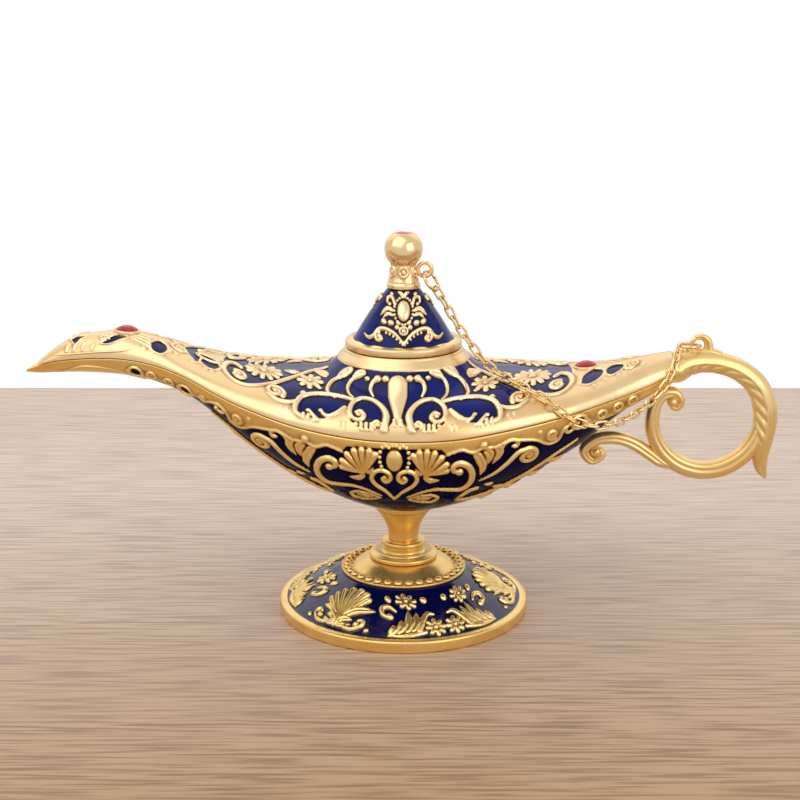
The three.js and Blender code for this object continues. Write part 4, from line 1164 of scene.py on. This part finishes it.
def decorate_lid(relief):
    edge = 0.35 + 0.12 * np.sin(14 * relief.turn) + 0.08 * np.sin(9 * relief.turn + 1)
    relief.band(edge[None, :] + 0 * relief.up)
    for front, draw in ((-90, lid_cartouche), (90, lid_cartouche), (0, lid_side), (180, lid_side)):
        for side in (-1, 1):
            relief.face(front, side)
            draw(relief)


def foot_palmette(draw):
    """Fan of ribs with a long leaf at each side."""
    draw.fan((0.2, 4.6), [(-6.4, 9.8), (-5.4, 12), (-3.8, 13.9), (-1.6, 15.3), (1, 15.6), (3.4, 14.7),
                          (5.1, 12.8)], 1.1, 1.25, 0.4)
    draw.leaf([(0.6, 5), (4.4, 8.6), (9.6, 9.4)], 1.5, 1.0, 0.5)
    draw.leaf([(-0.8, 5), (-4, 7.2), (-7.6, 7.4)], 1.2, 1.0, 0.5)
    draw.leaf([(0, 1.8), (0, 6.2)], 1.4, 1.0, 0.5)


def foot_acanthus(draw):
    """Leaves and curl at one side of a palmette's base."""
    draw.leaf([(0.4, 3), (2, 4.8), (4.6, 5.2)], 1.2, 1.0)
    draw.leaf([(0.2, 2.4), (2.6, 2.6), (5, 3.6)], 0.9, 0.95)
    draw.line([(3.8, 2), (6.4, 2), (8.4, 3.6), (8, 5.4), (6.6, 5.2)], (0.6, 0.7, 0.6, 0.4), 0.9)
    draw.beads([(6.6, 3.9, 0.95), (10.6, 2.4, 0.7)])


def foot_garland(draw):
    """Flower, drops, C-curl, plume with a hook and daisy on one side of a garland."""
    draw.daisy(8.4, 13.6, 2.5, 2.5, 8)
    draw.oval(3.2, 14, 0.9, 1.25)
    draw.oval(13.4, 14.4, 0.9, 1.25)
    draw.line([(12.6, 10), (14, 11.4), (16.2, 10.8), (16.8, 8.6), (15.2, 7.4)],
              (0.4, 0.75, 0.75, 0.7, 0.6), 0.9)
    draw.beads([(14.9, 8, 1)])
    draw.leaf([(17, 1.6), (15.4, 3.2), (14.6, 5)], 1.1, 1.0)
    draw.leaf([(15.2, 1.7), (12.8, 4.2), (12, 6.8)], 1.2, 1.0)
    draw.leaf([(13.2, 1.8), (10.4, 5), (9, 10.2)], 1.4, 1.05)
    draw.leaf([(11.4, 2), (8.4, 5.2), (6.9, 9.4)], 1.3, 1.0)
    draw.leaf([(9.8, 2.2), (7, 5), (5.4, 8.2)], 1.2, 1.0)
    draw.line([(8, 2.8), (6, 6.2), (4, 8.6), (2, 8.3)], (0.8, 0.8, 0.7, 0.25), 0.95, 0.3)
    draw.line([(17.4, 1.3), (12, 1.4), (6.4, 2.4)], (0.35, 0.8, 0.6), 0.85, 0.3)
    draw.daisy(3, 3.7, 2.5, 2.5, 8)


def decorate_foot(relief):
    relief.band(0.25 + 0 * relief.up)
    for third in (0, 120, 240):
        relief.face(PALMETTE_TURN + third)
        foot_palmette(relief)
        for side in (-1, 1):
            relief.face(PALMETTE_TURN + third, side)
            foot_acanthus(relief)
            relief.face(GARLAND_TURN + third, side)
            foot_garland(relief)


# Foot, dome, knop and stem

def foot_slope(steps):
    share = np.linspace(0, 1, steps)
    radius = FOOT_RADIUS - FOOT_RIM_PROUD
    rise = FOOT_TOP - FOOT_RIM_HEIGHT
    r = radius + (FOOT_TOP_RADIUS - radius) * share
    z = FOOT_RIM_HEIGHT + rise * (share + FOOT_SWELL * np.sin(math.pi * share))
    return np.stack([r, z], 1)


def foot():
    inner = foot_slope(12)[::-1] - (0.5 * FOOT_WALL, FOOT_WALL)
    edge = FOOT_RADIUS - FOOT_RIM_ROUND
    ledge = FOOT_RADIUS - FOOT_RIM_WIDTH
    hollow = [(BORE_RADIUS, FOOT_TOP), (BORE_RADIUS, FOOT_TOP - FOOT_WALL)] + inner.tolist()
    hollow += [(ledge, FOOT_RIM_INSIDE), (ledge, 0)]
    hollow += arc(edge, FOOT_RIM_ROUND, FOOT_RIM_ROUND, -90, 0, 6)
    hollow += arc(edge, FOOT_RIM_HEIGHT - FOOT_RIM_ROUND, FOOT_RIM_ROUND, 0, 90, 6)
    skin = turned_relief(foot_slope(66), hollow, FOOT_FACETS, decorate_foot, GROUND)
    Solids(skin).piece("foot_casting", glossy_navy, "lamp", "foot_shell", "enamel")


def dome_beads(relief):
    relief.gilt[:] = 1.0
    for i in range(DOME_BEADS):
        relief.face(360 / DOME_BEADS * i)
        relief.bead(0, DOME_BEAD_PLACE, DOME_BEAD_RADIUS, DOME_BEAD_RISE)


def dome():
    track = DOME_RADIUS - DOME_TRACK
    rim = [(DOME_RADIUS, 0), (DOME_RADIUS, DOME_EDGE)]
    rim += [(DOME_RADIUS - DOME_BEVEL, DOME_LIP), (track, DOME_LIP)]
    outside = dense(raised(rim, DOME_BASE), 0.2)
    share = np.linspace(0, 1, 24)[1:]
    radius = track + (DOME_CROWN_RADIUS - track) * share
    rise = (DOME_HEIGHT - DOME_LIP) * np.sin(0.5 * math.pi * share)
    outside += np.stack([radius, DOME_BASE + DOME_LIP + rise], 1).tolist()
    hollow = [(BORE_RADIUS, DOME_BASE + DOME_HEIGHT), (BORE_RADIUS, DOME_BASE)]
    skin = turned_relief(outside, hollow, DOME_FACETS, dome_beads)
    Solids(skin).piece("foot_dome_casting", rich_gold_painted_shade, "lamp", "foot_dome", "gold")


def knop():
    """Wide ring, hollow neck and narrow ring."""
    profile = [(BORE_RADIUS, 0), (9.5, 0)] + arc(9.45, 0.85, 0.85, -80, 80, 14)
    profile += [(6.6, 1.75)] + arc(6.9, 2.75, 1.0, 260, 100, 12) + [(6.1, 3.8)]
    profile += arc(5.75, 4.75, 0.95, -75, 75, 12) + [(4.6, 5.7), (BORE_RADIUS, 5.7)]
    skin = lathe(raised(profile, KNOP_BASE), TURNED_FACETS)
    Solids(skin).piece("stem_knop_turning", rich_gold_painted_shade, "lamp", "stem_knop", "gold")


def stem():
    share = np.linspace(0, 1, 40)
    radius = STEM_NECK_RADIUS + (STEM_TOP_RADIUS - STEM_NECK_RADIUS) * share ** STEM_FLARE
    height = STEM_BASE + (STEM_TOP - STEM_BASE) * share
    profile = np.stack([radius, height], 1).tolist()
    profile += [(BORE_RADIUS, STEM_TOP), (BORE_RADIUS, STEM_BASE)]
    skin = lathe(profile, TURNED_FACETS)
    crisp(Solids(skin).piece("stem_turning", rich_gold_painted_shade, "lamp", "stem", "gold"), STEM_CREASE)


# Body

def collar():
    base = SEAT + COLLAR_BASE
    top = base + COLLAR_HEIGHT
    foot_edge = (COLLAR_BASE_RADIUS - COLLAR_ROUND, base - COLLAR_ROUND)
    widest = (COLLAR_BASE_RADIUS, base + COLLAR_EDGE)
    shoulder = (COLLAR_BASE_RADIUS - COLLAR_EDGE, base + 3 * COLLAR_EDGE)
    narrow = (COLLAR_TOP_RADIUS + COLLAR_TAPER, top - COLLAR_TAPER_DROP)
    outside = dense([foot_edge, widest, shoulder, narrow], 0.25)
    outside += arc(COLLAR_TOP_RADIUS - COLLAR_EDGE, top - COLLAR_ROUND, COLLAR_ROUND, 20, 90, 6)
    hollow = arc(MOUTH_RADIUS + MOUTH_ROUND, top - MOUTH_ROUND, MOUTH_ROUND, 90, 180, 5)
    hollow += [(MOUTH_RADIUS, base - COLLAR_DEPTH), (COLLAR_BASE_RADIUS - COLLAR_WALL, base - COLLAR_DEPTH)]
    return turned_relief(outside, hollow, COLLAR_FACETS, collar_wave)


def collar_wave(relief):
    """Lower edge that wanders a little, as hand-gilt edges do."""
    relief.gilt[:] = 1.0
    low = np.clip(1 - relief.up / 1.6, 0, 1)
    relief.height[:] = low * (0.12 + 0.12 * np.sin(9 * relief.turn) + 0.08 * np.sin(17 * relief.turn + 2))


def leaning(points, x):
    """Moves a turned skin from the origin onto the ridge, leaning with it."""
    slope = math.atan(float(ridge_at(x + 0.5) - ridge_at(x - 0.5)))
    c, s = math.cos(slope), math.sin(slope)
    along, across, up = np.asarray(points).T
    height = float(roof_height(np.array([x]), np.array([0.0]))[0]) + SEAT
    return np.stack([along * c - up * s, across, along * s + up * c], 1) + (x, 0, height)


def bezel(x):
    inner = STONE_RADIUS + STONE_PLAY
    outer = inner + BEZEL_WIDTH
    profile = [(inner, -BODY_WALL), (outer, -BODY_WALL), (outer, BEZEL_EDGE)]
    profile += arc(inner + BEZEL_ROUND, BEZEL_PROUD - BEZEL_ROUND_DROP, BEZEL_ROUND, 10, 170, 9)
    points, faces = lathe(profile, BEZEL_FACETS)
    return leaning(points, x), faces


def upper_half():
    skin = shell(roof_height, UPPER_LIP_X, HOLE_RADIUS, 1, decorate_upper)
    solids = Solids(skin, collar(), bezel(SPOUT_STONE_X), bezel(REAR_STONE_X))
    solids.piece("upper_body_casting", cobalt, "lamp", "upper_shell", "enamel")


def lower_half():
    boss = [(BORE_RADIUS, 0)] + BOSS + [(BORE_RADIUS, BOSS[-1][1])]
    skin = shell(hull_height, TIP_X, 0.0, -1, decorate_lower)
    solids = Solids(skin, lathe(raised(boss, SEAT), BOSS_FACETS))
    solids.piece("lower_body_casting", navy_painted_shade, "lamp", "lower_shell", "enamel")


# Stones

def stone_at(name, body, node, radius, crown, place):
    """Faceted stone on its flat back."""
    girdle = POCKET_DEPTH - STONE_PLAY
    half = 0.5 * TAU / STONE_FACETS
    rows = ((0.8, 0.0, 0.0), (1.0, girdle, 0.0), (1.0, girdle + 0.25 * crown, 0.0),
            (0.8, POCKET_DEPTH + 0.55 * crown, half), (0.5, POCKET_DEPTH + crown, 0.0))
    points = []
    for share, up, offset in rows:
        for turn in around(STONE_FACETS) + offset:
            points.append((share * radius * math.cos(turn), share * radius * math.sin(turn), up))
    index = numbers(len(rows), STONE_FACETS)
    faces = [grid_faces(index[:3], wrap_columns=True), index[:1, ::-1], index[-1:]]
    for low, high, ahead in ((index[2], index[3], 0), (index[3], index[4], -1)):
        near = np.roll(high, ahead)
        faces.append(np.stack([low, np.roll(low, -1), near], 1))
        faces.append(np.stack([near, np.roll(low, -1), np.roll(near, -1)], 1))
    crisp(new_piece(name, place(np.array(points)), faces, ruby, body, [node]), STONE_CREASE)


def stones():
    floor = BEZEL_PROUD - POCKET_DEPTH + STONE_PLAY
    for name, x in (("spout", SPOUT_STONE_X), ("rear", REAR_STONE_X)):
        stone_at(name + "_gem", "lamp", name + "_stone", STONE_RADIUS, STONE_CROWN,
                 lambda points, x=x: leaning(points + (0, 0, floor), x))
    stone_at("finial_gem", "lid", "finial_stone", FINIAL_STONE_RADIUS, FINIAL_STONE_CROWN,
             lambda points: points + (0, 0, FINIAL_POCKET))


# Lid and finial

def lid():
    z = LID_SEAT
    shoulder = z + LID_FLANGE_HEIGHT
    top = shoulder + LID_CONE_HEIGHT
    share = np.linspace(0, 1, 64)
    bulge = LID_BULGE * np.sin(math.pi * share)
    radius = LID_CONE_RADIUS + (LID_TOP_RADIUS - LID_CONE_RADIUS) * share + bulge
    cone = np.stack([radius, shoulder + LID_CONE_HEIGHT * share], 1)
    roof = top - LID_BOSS_HEIGHT
    inner = cone[::-6] - (LID_WALL, LID_WALL_DROP)
    hollow = [(SCREW_BORE, top), (SCREW_BORE, roof), (LID_BOSS_RADIUS, roof)]
    hollow += [(r, h) for r, h in inner if shoulder < h < roof - LID_WALL_GAP]
    end = z - SPIGOT_DEPTH
    hollow += [(SPIGOT_INSIDE, z + SPIGOT_ROOT), (SPIGOT_INSIDE, end), (SPIGOT_RADIUS - SPIGOT_BEVEL, end)]
    hollow += [(SPIGOT_RADIUS, end + SPIGOT_BEVEL), (SPIGOT_RADIUS, z)]
    edge, bend = LID_FLANGE_EDGE, LID_FLANGE_ROUND
    hollow += arc(LID_FLANGE_RADIUS - edge, z + edge, edge, -90, 0, 4)
    hollow += arc(LID_FLANGE_RADIUS - bend, shoulder - bend, bend, 0, 80, 6)
    skin = turned_relief(cone, hollow, LID_FACETS, decorate_lid, GROUND)
    Solids(skin).piece("lid_casting", cobalt, "lid", "lid_shell", "enamel")


def neck_ovals(relief):
    relief.gilt[:] = 1.0
    for i in range(NECK_OVALS):
        relief.face(-90 + 360 / NECK_OVALS * i)
        relief.ring(0, 5.2, 1.25, 1.5, 0.3, 0, 0.4)
        relief.oval(0, 5.2, 0.65, 0.85, 0, 0.5)
        relief.bead(0, 7.8, 0.45, 0.35)


def finial():
    z = FINIAL_BASE
    neck_radius, neck_base = FINIAL_DISC[-1]
    outside = dense(raised(FINIAL_DISC, z), 0.2)
    join = math.asin((NECK_TOP_RADIUS - NECK_SINK) / BALL_RADIUS)
    stop = math.pi - math.asin((FINIAL_STONE_RADIUS + BALL_EDGE) / BALL_RADIUS)
    meet = BALL_HEIGHT - BALL_RADIUS * math.cos(join)
    share = np.linspace(0, 1, 26)[1:]
    bow = neck_radius + (NECK_TOP_RADIUS - neck_radius) * share - NECK_WAIST * np.sin(math.pi * share)
    outside += np.stack([bow, z + neck_base + (meet - neck_base) * share], 1).tolist()
    turns = np.linspace(join, stop, 44)[1:]
    ball = [BALL_RADIUS * np.sin(turns), z + BALL_HEIGHT - BALL_RADIUS * np.cos(turns)]
    outside += np.stack(ball, 1).tolist()
    rim = z + BALL_HEIGHT - BALL_RADIUS * math.cos(stop)
    wall = FINIAL_STONE_RADIUS + STONE_PLAY
    floor = FINIAL_POCKET - POCKET_PLAY
    hollow = [(wall, rim), (wall, floor), (SCREW_CORE, floor), (SCREW_CORE, z + SCREW_DEPTH)]
    hollow += [(SCREW_BORE, z + SCREW_DEPTH), (SCREW_BORE, z)]
    skin = turned_relief(outside, hollow, FINIAL_FACETS, neck_ovals)
    eyelet = eye(EYELET_REACH, z + EYELET_HEIGHT, EYELET_RADIUS, EYELET_BAR, 48)
    Solids(skin, eyelet).piece("finial_turning", gold, "lid", "finial", "gold")


# Handle: each point gives x, height above the seat, and half thicknesses in and across the handle's plane

def placed(x, z, *rows):
    """Points measured from one place."""
    return [(x + along, z + up, thick, deep) for along, up, thick, deep in rows]


def round_finger(*rows):
    """Points by degrees round the finger ring and millimetres outside its mean circle."""
    points = []
    for degrees, outside, thick, deep in rows:
        turn = math.radians(degrees)
        reach = FINGER_RADIUS + outside
        points.append((FINGER_X + reach * math.cos(turn), FINGER_Z + reach * math.sin(turn), thick, deep))
    return points


ARM = placed(ROOT_X, CROWN_Z, (0, -1.7, 4.4, 6.4), (1.4, -1.7, 4.4, 6.1), (4.1, -0.6, 3.9, 4.8),
             (8.2, 0, 3.3, 3.7))
ARM += round_finger((81, 0.7, 3.15, 3.3), (57, 0.8, 3.2, 3.2), (33, 1.2, 3.4, 3.2), (9, 1.2, 3.6, 3.2),
                    (-8, 1.3, 3.5, 3.1), (-24, 2.3, 3, 2.9), (-36, 4.2, 2.4, 2.5), (-43, 7.3, 1.7, 2),
                    (-45, 9.8, 0.6, 1))
RING = round_finger((9, 0.5, 2, 2.2), (-8, 0.1, 2.3, 2.3), (-24, 0, 2.5, 2.5), (-45, 0, 2.7, 2.6),
                    (-70, 0, 2.8, 2.7), (-95, 0, 2.8, 2.7), (-120, 0, 2.7, 2.7), (-145, 0, 2.4, 2.6),
                    (-170, 0, 2.2, 2.5))
RING += placed(FINGER_X, FINGER_Z, (-14.9, 4.9, 2, 2.4), (-12.4, 7.5, 1.9, 2.3), (-9.2, 7.4, 1.6, 2.1),
               (-7.8, 5, 1.3, 1.9), (-8.9, 3, 1, 1.7), (-10.8, 3.4, 0.6, 1.3))
BRACKET = round_finger((-120, 0.8, 1.3, 2), (-134, 2.6, 1.7, 2.1))
BRACKET += placed(FINGER_X, FINGER_Z, (-16.6, -10.9, 1.9, 2.2), (-20.7, -8.1, 2, 2.2), (-24.5, -6.5, 2, 2.2),
                  (-28.5, -6, 2, 2.2), (-32.9, -7, 1.8, 2.2), (-35.8, -10, 1.6, 2.1), (-33.4, -13, 1.4, 2),
                  (-30.2, -11, 1.1, 1.8), (-31.4, -9.2, 0.6, 1.3))
SCROLL_EYES = placed(FINGER_X, FINGER_Z, (-10.2, 4.9, 1.75, 2.3), (-32.3, -10.3, 1.8, 2.4))
LUG_LEAF = placed(LUG_X, CROWN_Z, (6.5, 2.2, 1, 1.8), (3.6, 2.9, 1.2, 1.7), (0.6, 2.9, 1.1, 1.5),
                  (-2.4, 3, 0.9, 1.2), (-3.6, 4.8, 0.5, 0.8))
LUG_HOOK = placed(LUG_X, LUG_Z, (-1.2, 2.5, 0.4, 0.8), (1, 2.6, 0.7, 1.1), (2.8, 1.2, 0.9, 1.3),
                  (3.4, -1.4, 1, 1.5), (4.2, -2.6, 1.1, 1.7))


def centripetal(points, steps):
    """Smooth line through points with spacing by their distance."""
    points = np.asarray(points, float)
    ends = np.vstack([2 * points[0] - points[1], points, 2 * points[-1] - points[-2]])
    gaps = np.maximum(np.sqrt(np.linalg.norm(np.diff(ends[:, :2], axis=0), axis=1)), 1e-6)
    t = np.linspace(0, 1, steps, endpoint=False)[:, None]
    line = []
    for i in range(1, len(ends) - 2):
        a, b, c, d = ends[i - 1:i + 3]
        g0, g1, g2 = gaps[i - 1:i + 2]
        out = ((b - a) / g0 - (c - a) / (g0 + g1) + (c - b) / g1) * g1
        into = ((c - b) / g1 - (d - b) / (g1 + g2) + (d - c) / g2) * g1
        square = 3 * (c - b) - 2 * out - into
        cube = out + into - 2 * (c - b)
        line.append(b + out * t + square * t ** 2 + cube * t ** 3)
    return np.vstack(line + [points[-1:]])


def plain(share, turns):
    return 0 * share * turns


def limb(points, steps, facets, carve=plain):
    """Swept bar, grown or cut by its carving."""
    line = centripetal(points, steps)
    along = np.gradient(line[:, :2], axis=0)
    along /= np.linalg.norm(along, axis=1, keepdims=True)
    turns = around(facets)
    share = np.linspace(0, 1, len(line))
    grow = carve(share[:, None], turns[None, :])
    thick = (line[:, 2:3] + grow) * np.cos(turns)
    deep = (line[:, 3:4] + grow) * np.sin(turns)
    x = line[:, :1] - along[:, 1:] * thick
    z = line[:, 1:2] + along[:, :1] * thick + SEAT
    points = np.stack([x, deep, z], -1)
    index = numbers(*x.shape)
    return points.reshape(-1, 3), [grid_faces(index, wrap_columns=True), index[:1, ::-1], index[-1:]]


def turn_off(turns):
    """Turn away from a bar's outer edge, either way."""
    return np.abs((turns + math.pi) % TAU - math.pi)


def ridge_pair(turns, place, wide):
    """One on both sides of a bar near a turn from its outer edge, and nothing elsewhere."""
    return np.exp(-((turn_off(turns) - place) / wide) ** 2)


def stretch(share, start, end, soft):
    """One along a stretch of a bar, fading at both ends."""
    return np.clip((share - start) / soft, 0, 1) * np.clip((end - share) / soft, 0, 1)


def carve_arm(share, turns):
    """Feather flutes on the inner face below a fine ridge, and a groove in the leaf tip."""
    off = turn_off(turns)
    face = np.clip((off - 1.55) / 0.25, 0, 1) * np.clip((2.85 - off) / 0.3, 0, 1)
    flutes = np.abs(np.sin(math.pi * (ARM_FLUTES * share + FLUTE_SLANT * off))) - 0.6
    part = stretch(share, 0.12, 0.76, 0.05)
    edge = ridge_pair(turns, 1.5, 0.13) * stretch(share, 0.1, 0.9, 0.08)
    tip = ridge_pair(turns, 1.57, 0.35) * stretch(share, 0.86, 0.99, 0.03)
    return 0.5 * face * part * flutes + 0.22 * edge - 0.4 * tip


def carve_ring(share, turns):
    """Raised inner ridge beside a groove along the finger ring."""
    part = stretch(share, 0.05, 0.8, 0.06)
    return part * (0.2 * ridge_pair(turns, 2.25, 0.25) - 0.3 * ridge_pair(turns, 1.75, 0.16))


def carve_bracket(share, turns):
    """Groove between two ridges along the bracket."""
    part = stretch(share, 0.08, 0.97, 0.05)
    return part * (0.15 * ridge_pair(turns, 1.1, 0.25) - 0.3 * ridge_pair(turns, 1.57, 0.22))


def scroll_eye(x, z, radius, deep):
    """Rounded boss in the eye of a scroll."""
    rows, facets = 13, 32
    share = np.linspace(0, math.pi, rows + 2)[1:-1, None]
    turns = around(facets)
    reach = radius * np.sin(share)
    y = np.repeat(-deep * np.cos(share), facets, 1)
    points = np.stack([x + reach * np.cos(turns), y, SEAT + z + reach * np.sin(turns)], -1).reshape(-1, 3)
    points = np.vstack([points, [x, -deep, SEAT + z], [x, deep, SEAT + z]])
    index = numbers(rows, facets)
    faces = [grid_faces(index, wrap_columns=True)]
    for row, tip in ((index[0], len(points) - 2), (index[-1], len(points) - 1)):
        faces.append(np.stack([np.full(facets, tip), row, np.roll(row, -1)], 1))
    return points, faces


def handle():
    solids = Solids(limb(ARM, 16, 72, carve_arm), limb(RING, 14, 48, carve_ring))
    solids.add(*limb(BRACKET, 14, 48, carve_bracket))
    solids.add(*eye(LUG_X, SEAT + LUG_Z, LUG_RADIUS, LUG_BAR, 64))
    solids.add(*limb(LUG_LEAF, 8, 20))
    solids.add(*limb(LUG_HOOK, 8, 20))
    for boss in SCROLL_EYES:
        solids.add(*scroll_eye(*boss))
    solids.piece("handle_casting", satin_gold, "lamp", "handle", "gold")


# Chain

def pose_of(node):
    """Middle and axes, longest first, of a part that is symmetric about its middle."""
    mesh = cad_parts[node].data
    points = np.zeros(3 * len(mesh.vertices))
    mesh.vertices.foreach_get("co", points)
    points = points.reshape(-1, 3) / MM
    axes = np.linalg.svd(points - points.mean(0), full_matrices=False)[2]
    spread = points @ axes.T
    middle = 0.5 * (spread.min(0) + spread.max(0)) @ axes
    return middle, axes


def link_line(half_straight, radius, steps):
    """Flat outline with round ends, as lengths along and across."""
    turns = np.linspace(-0.5 * math.pi, 0.5 * math.pi, steps)
    end = np.stack([half_straight + radius * np.cos(turns), radius * np.sin(turns)], 1)
    return np.vstack([end, -end])


def chain_piece(node, outline, wire):
    middle, axes = pose_of(node)
    line = middle + outline @ axes[:2]
    points, faces = tube(line, wire / 2, WIRE_FACETS)
    new_piece(node + "_wire", points, faces, chain_gold, node, [node])


def chain():
    radius = (LINK_INNER_WIDTH + LINK_WIRE) / 2
    outline = link_line((LINK_INNER_LENGTH + LINK_WIRE) / 2 - radius, radius, 12)
    for node in sorted(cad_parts):
        if node.startswith("chain_link"):
            chain_piece(node, outline, LINK_WIRE)
    for node in ("lid_ring", "handle_ring"):
        chain_piece(node, link_line(0.0, RING_RADIUS, 24), RING_WIRE)


# Hidden fasteners keep their own mesh

def fasteners():
    for node in ("tie_washer", "tie_bolt", "tie_nut", "lid_screw"):
        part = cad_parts[node]
        part.data.materials.clear()
        part.data.materials.append(steel)


foot()
dome()
knop()
stem()
upper_half()
lower_half()
stones()
lid()
finial()
handle()
chain()
fasteners()


# Stage, light and camera

def put_on_stage(name, data):
    made = bpy.data.objects.new(name, data)
    bpy.context.scene.collection.objects.link(made)
    return made


def floor():
    mesh = bpy.data.meshes.new("floor")
    edges = ((-1, FLOOR_FRONT), (1, FLOOR_FRONT), (1, FLOOR_BACK), (-1, FLOOR_BACK))
    corners = [Vector((side * FLOOR_HALF_WIDTH, y, 0)) * MM for side, y in edges]
    mesh.from_pydata(corners, [], [(0, 1, 2, 3)])
    mesh.materials.append(floor_paint("table"))
    put_on_stage("floor", mesh)


def soft_light(name, place, aim, size, watts):
    lamp = bpy.data.lights.new(name, "AREA")
    lamp.shape = "RECTANGLE"
    lamp.size = size[0] * MM
    lamp.size_y = size[1] * MM
    lamp.energy = watts
    made = put_on_stage(name, lamp)
    made.location = Vector(place) * MM
    made.rotation_euler = (Vector(aim) - Vector(place)).to_track_quat("-Z", "Y").to_euler()


def surroundings():
    """White to the camera, bright in reflections and softer on everything else."""
    world = bpy.data.worlds.new("studio")
    bpy.context.scene.world = world
    world.use_nodes = True
    nodes = world.node_tree.nodes
    links = world.node_tree.links
    path = nodes.new("ShaderNodeLightPath")

    def glow(colour, strength):
        shade = nodes.new("ShaderNodeBackground")
        shade.inputs["Color"].default_value = (*colour, 1.0)
        shade.inputs["Strength"].default_value = strength
        return shade.outputs[0]

    def pick(ray, other, seen):
        mixed = nodes.new("ShaderNodeMixShader")
        links.new(path.outputs[ray], mixed.inputs[0])
        links.new(other, mixed.inputs[1])
        links.new(seen, mixed.inputs[2])
        return mixed.outputs[0]

    room = pick("Is Glossy Ray", glow(DAYLIGHT, ROOM_LIGHT), glow(DAYLIGHT, ROOM_GLEAM))
    sight = pick("Is Camera Ray", room, glow(WHITE, 1.0))
    links.new(sight, nodes["World Output"].inputs["Surface"])


def camera():
    lens = bpy.data.cameras.new("camera")
    lens.lens = CAMERA_LENS
    lens.sensor_width = CAMERA_SENSOR
    lens.clip_start = CAMERA_NEAR * MM
    made = bpy.data.objects.new("camera", lens)
    made.location = Vector(CAMERA_PLACE) * MM
    made.rotation_euler = (math.radians(90 - CAMERA_PITCH), 0, 0)
    bpy.context.scene.collection.objects.link(made)
    bpy.context.scene.camera = made


floor()
for light in LIGHTS:
    soft_light(*light)
surroundings()
camera()

bpy.context.scene.view_settings.view_transform = "Standard"
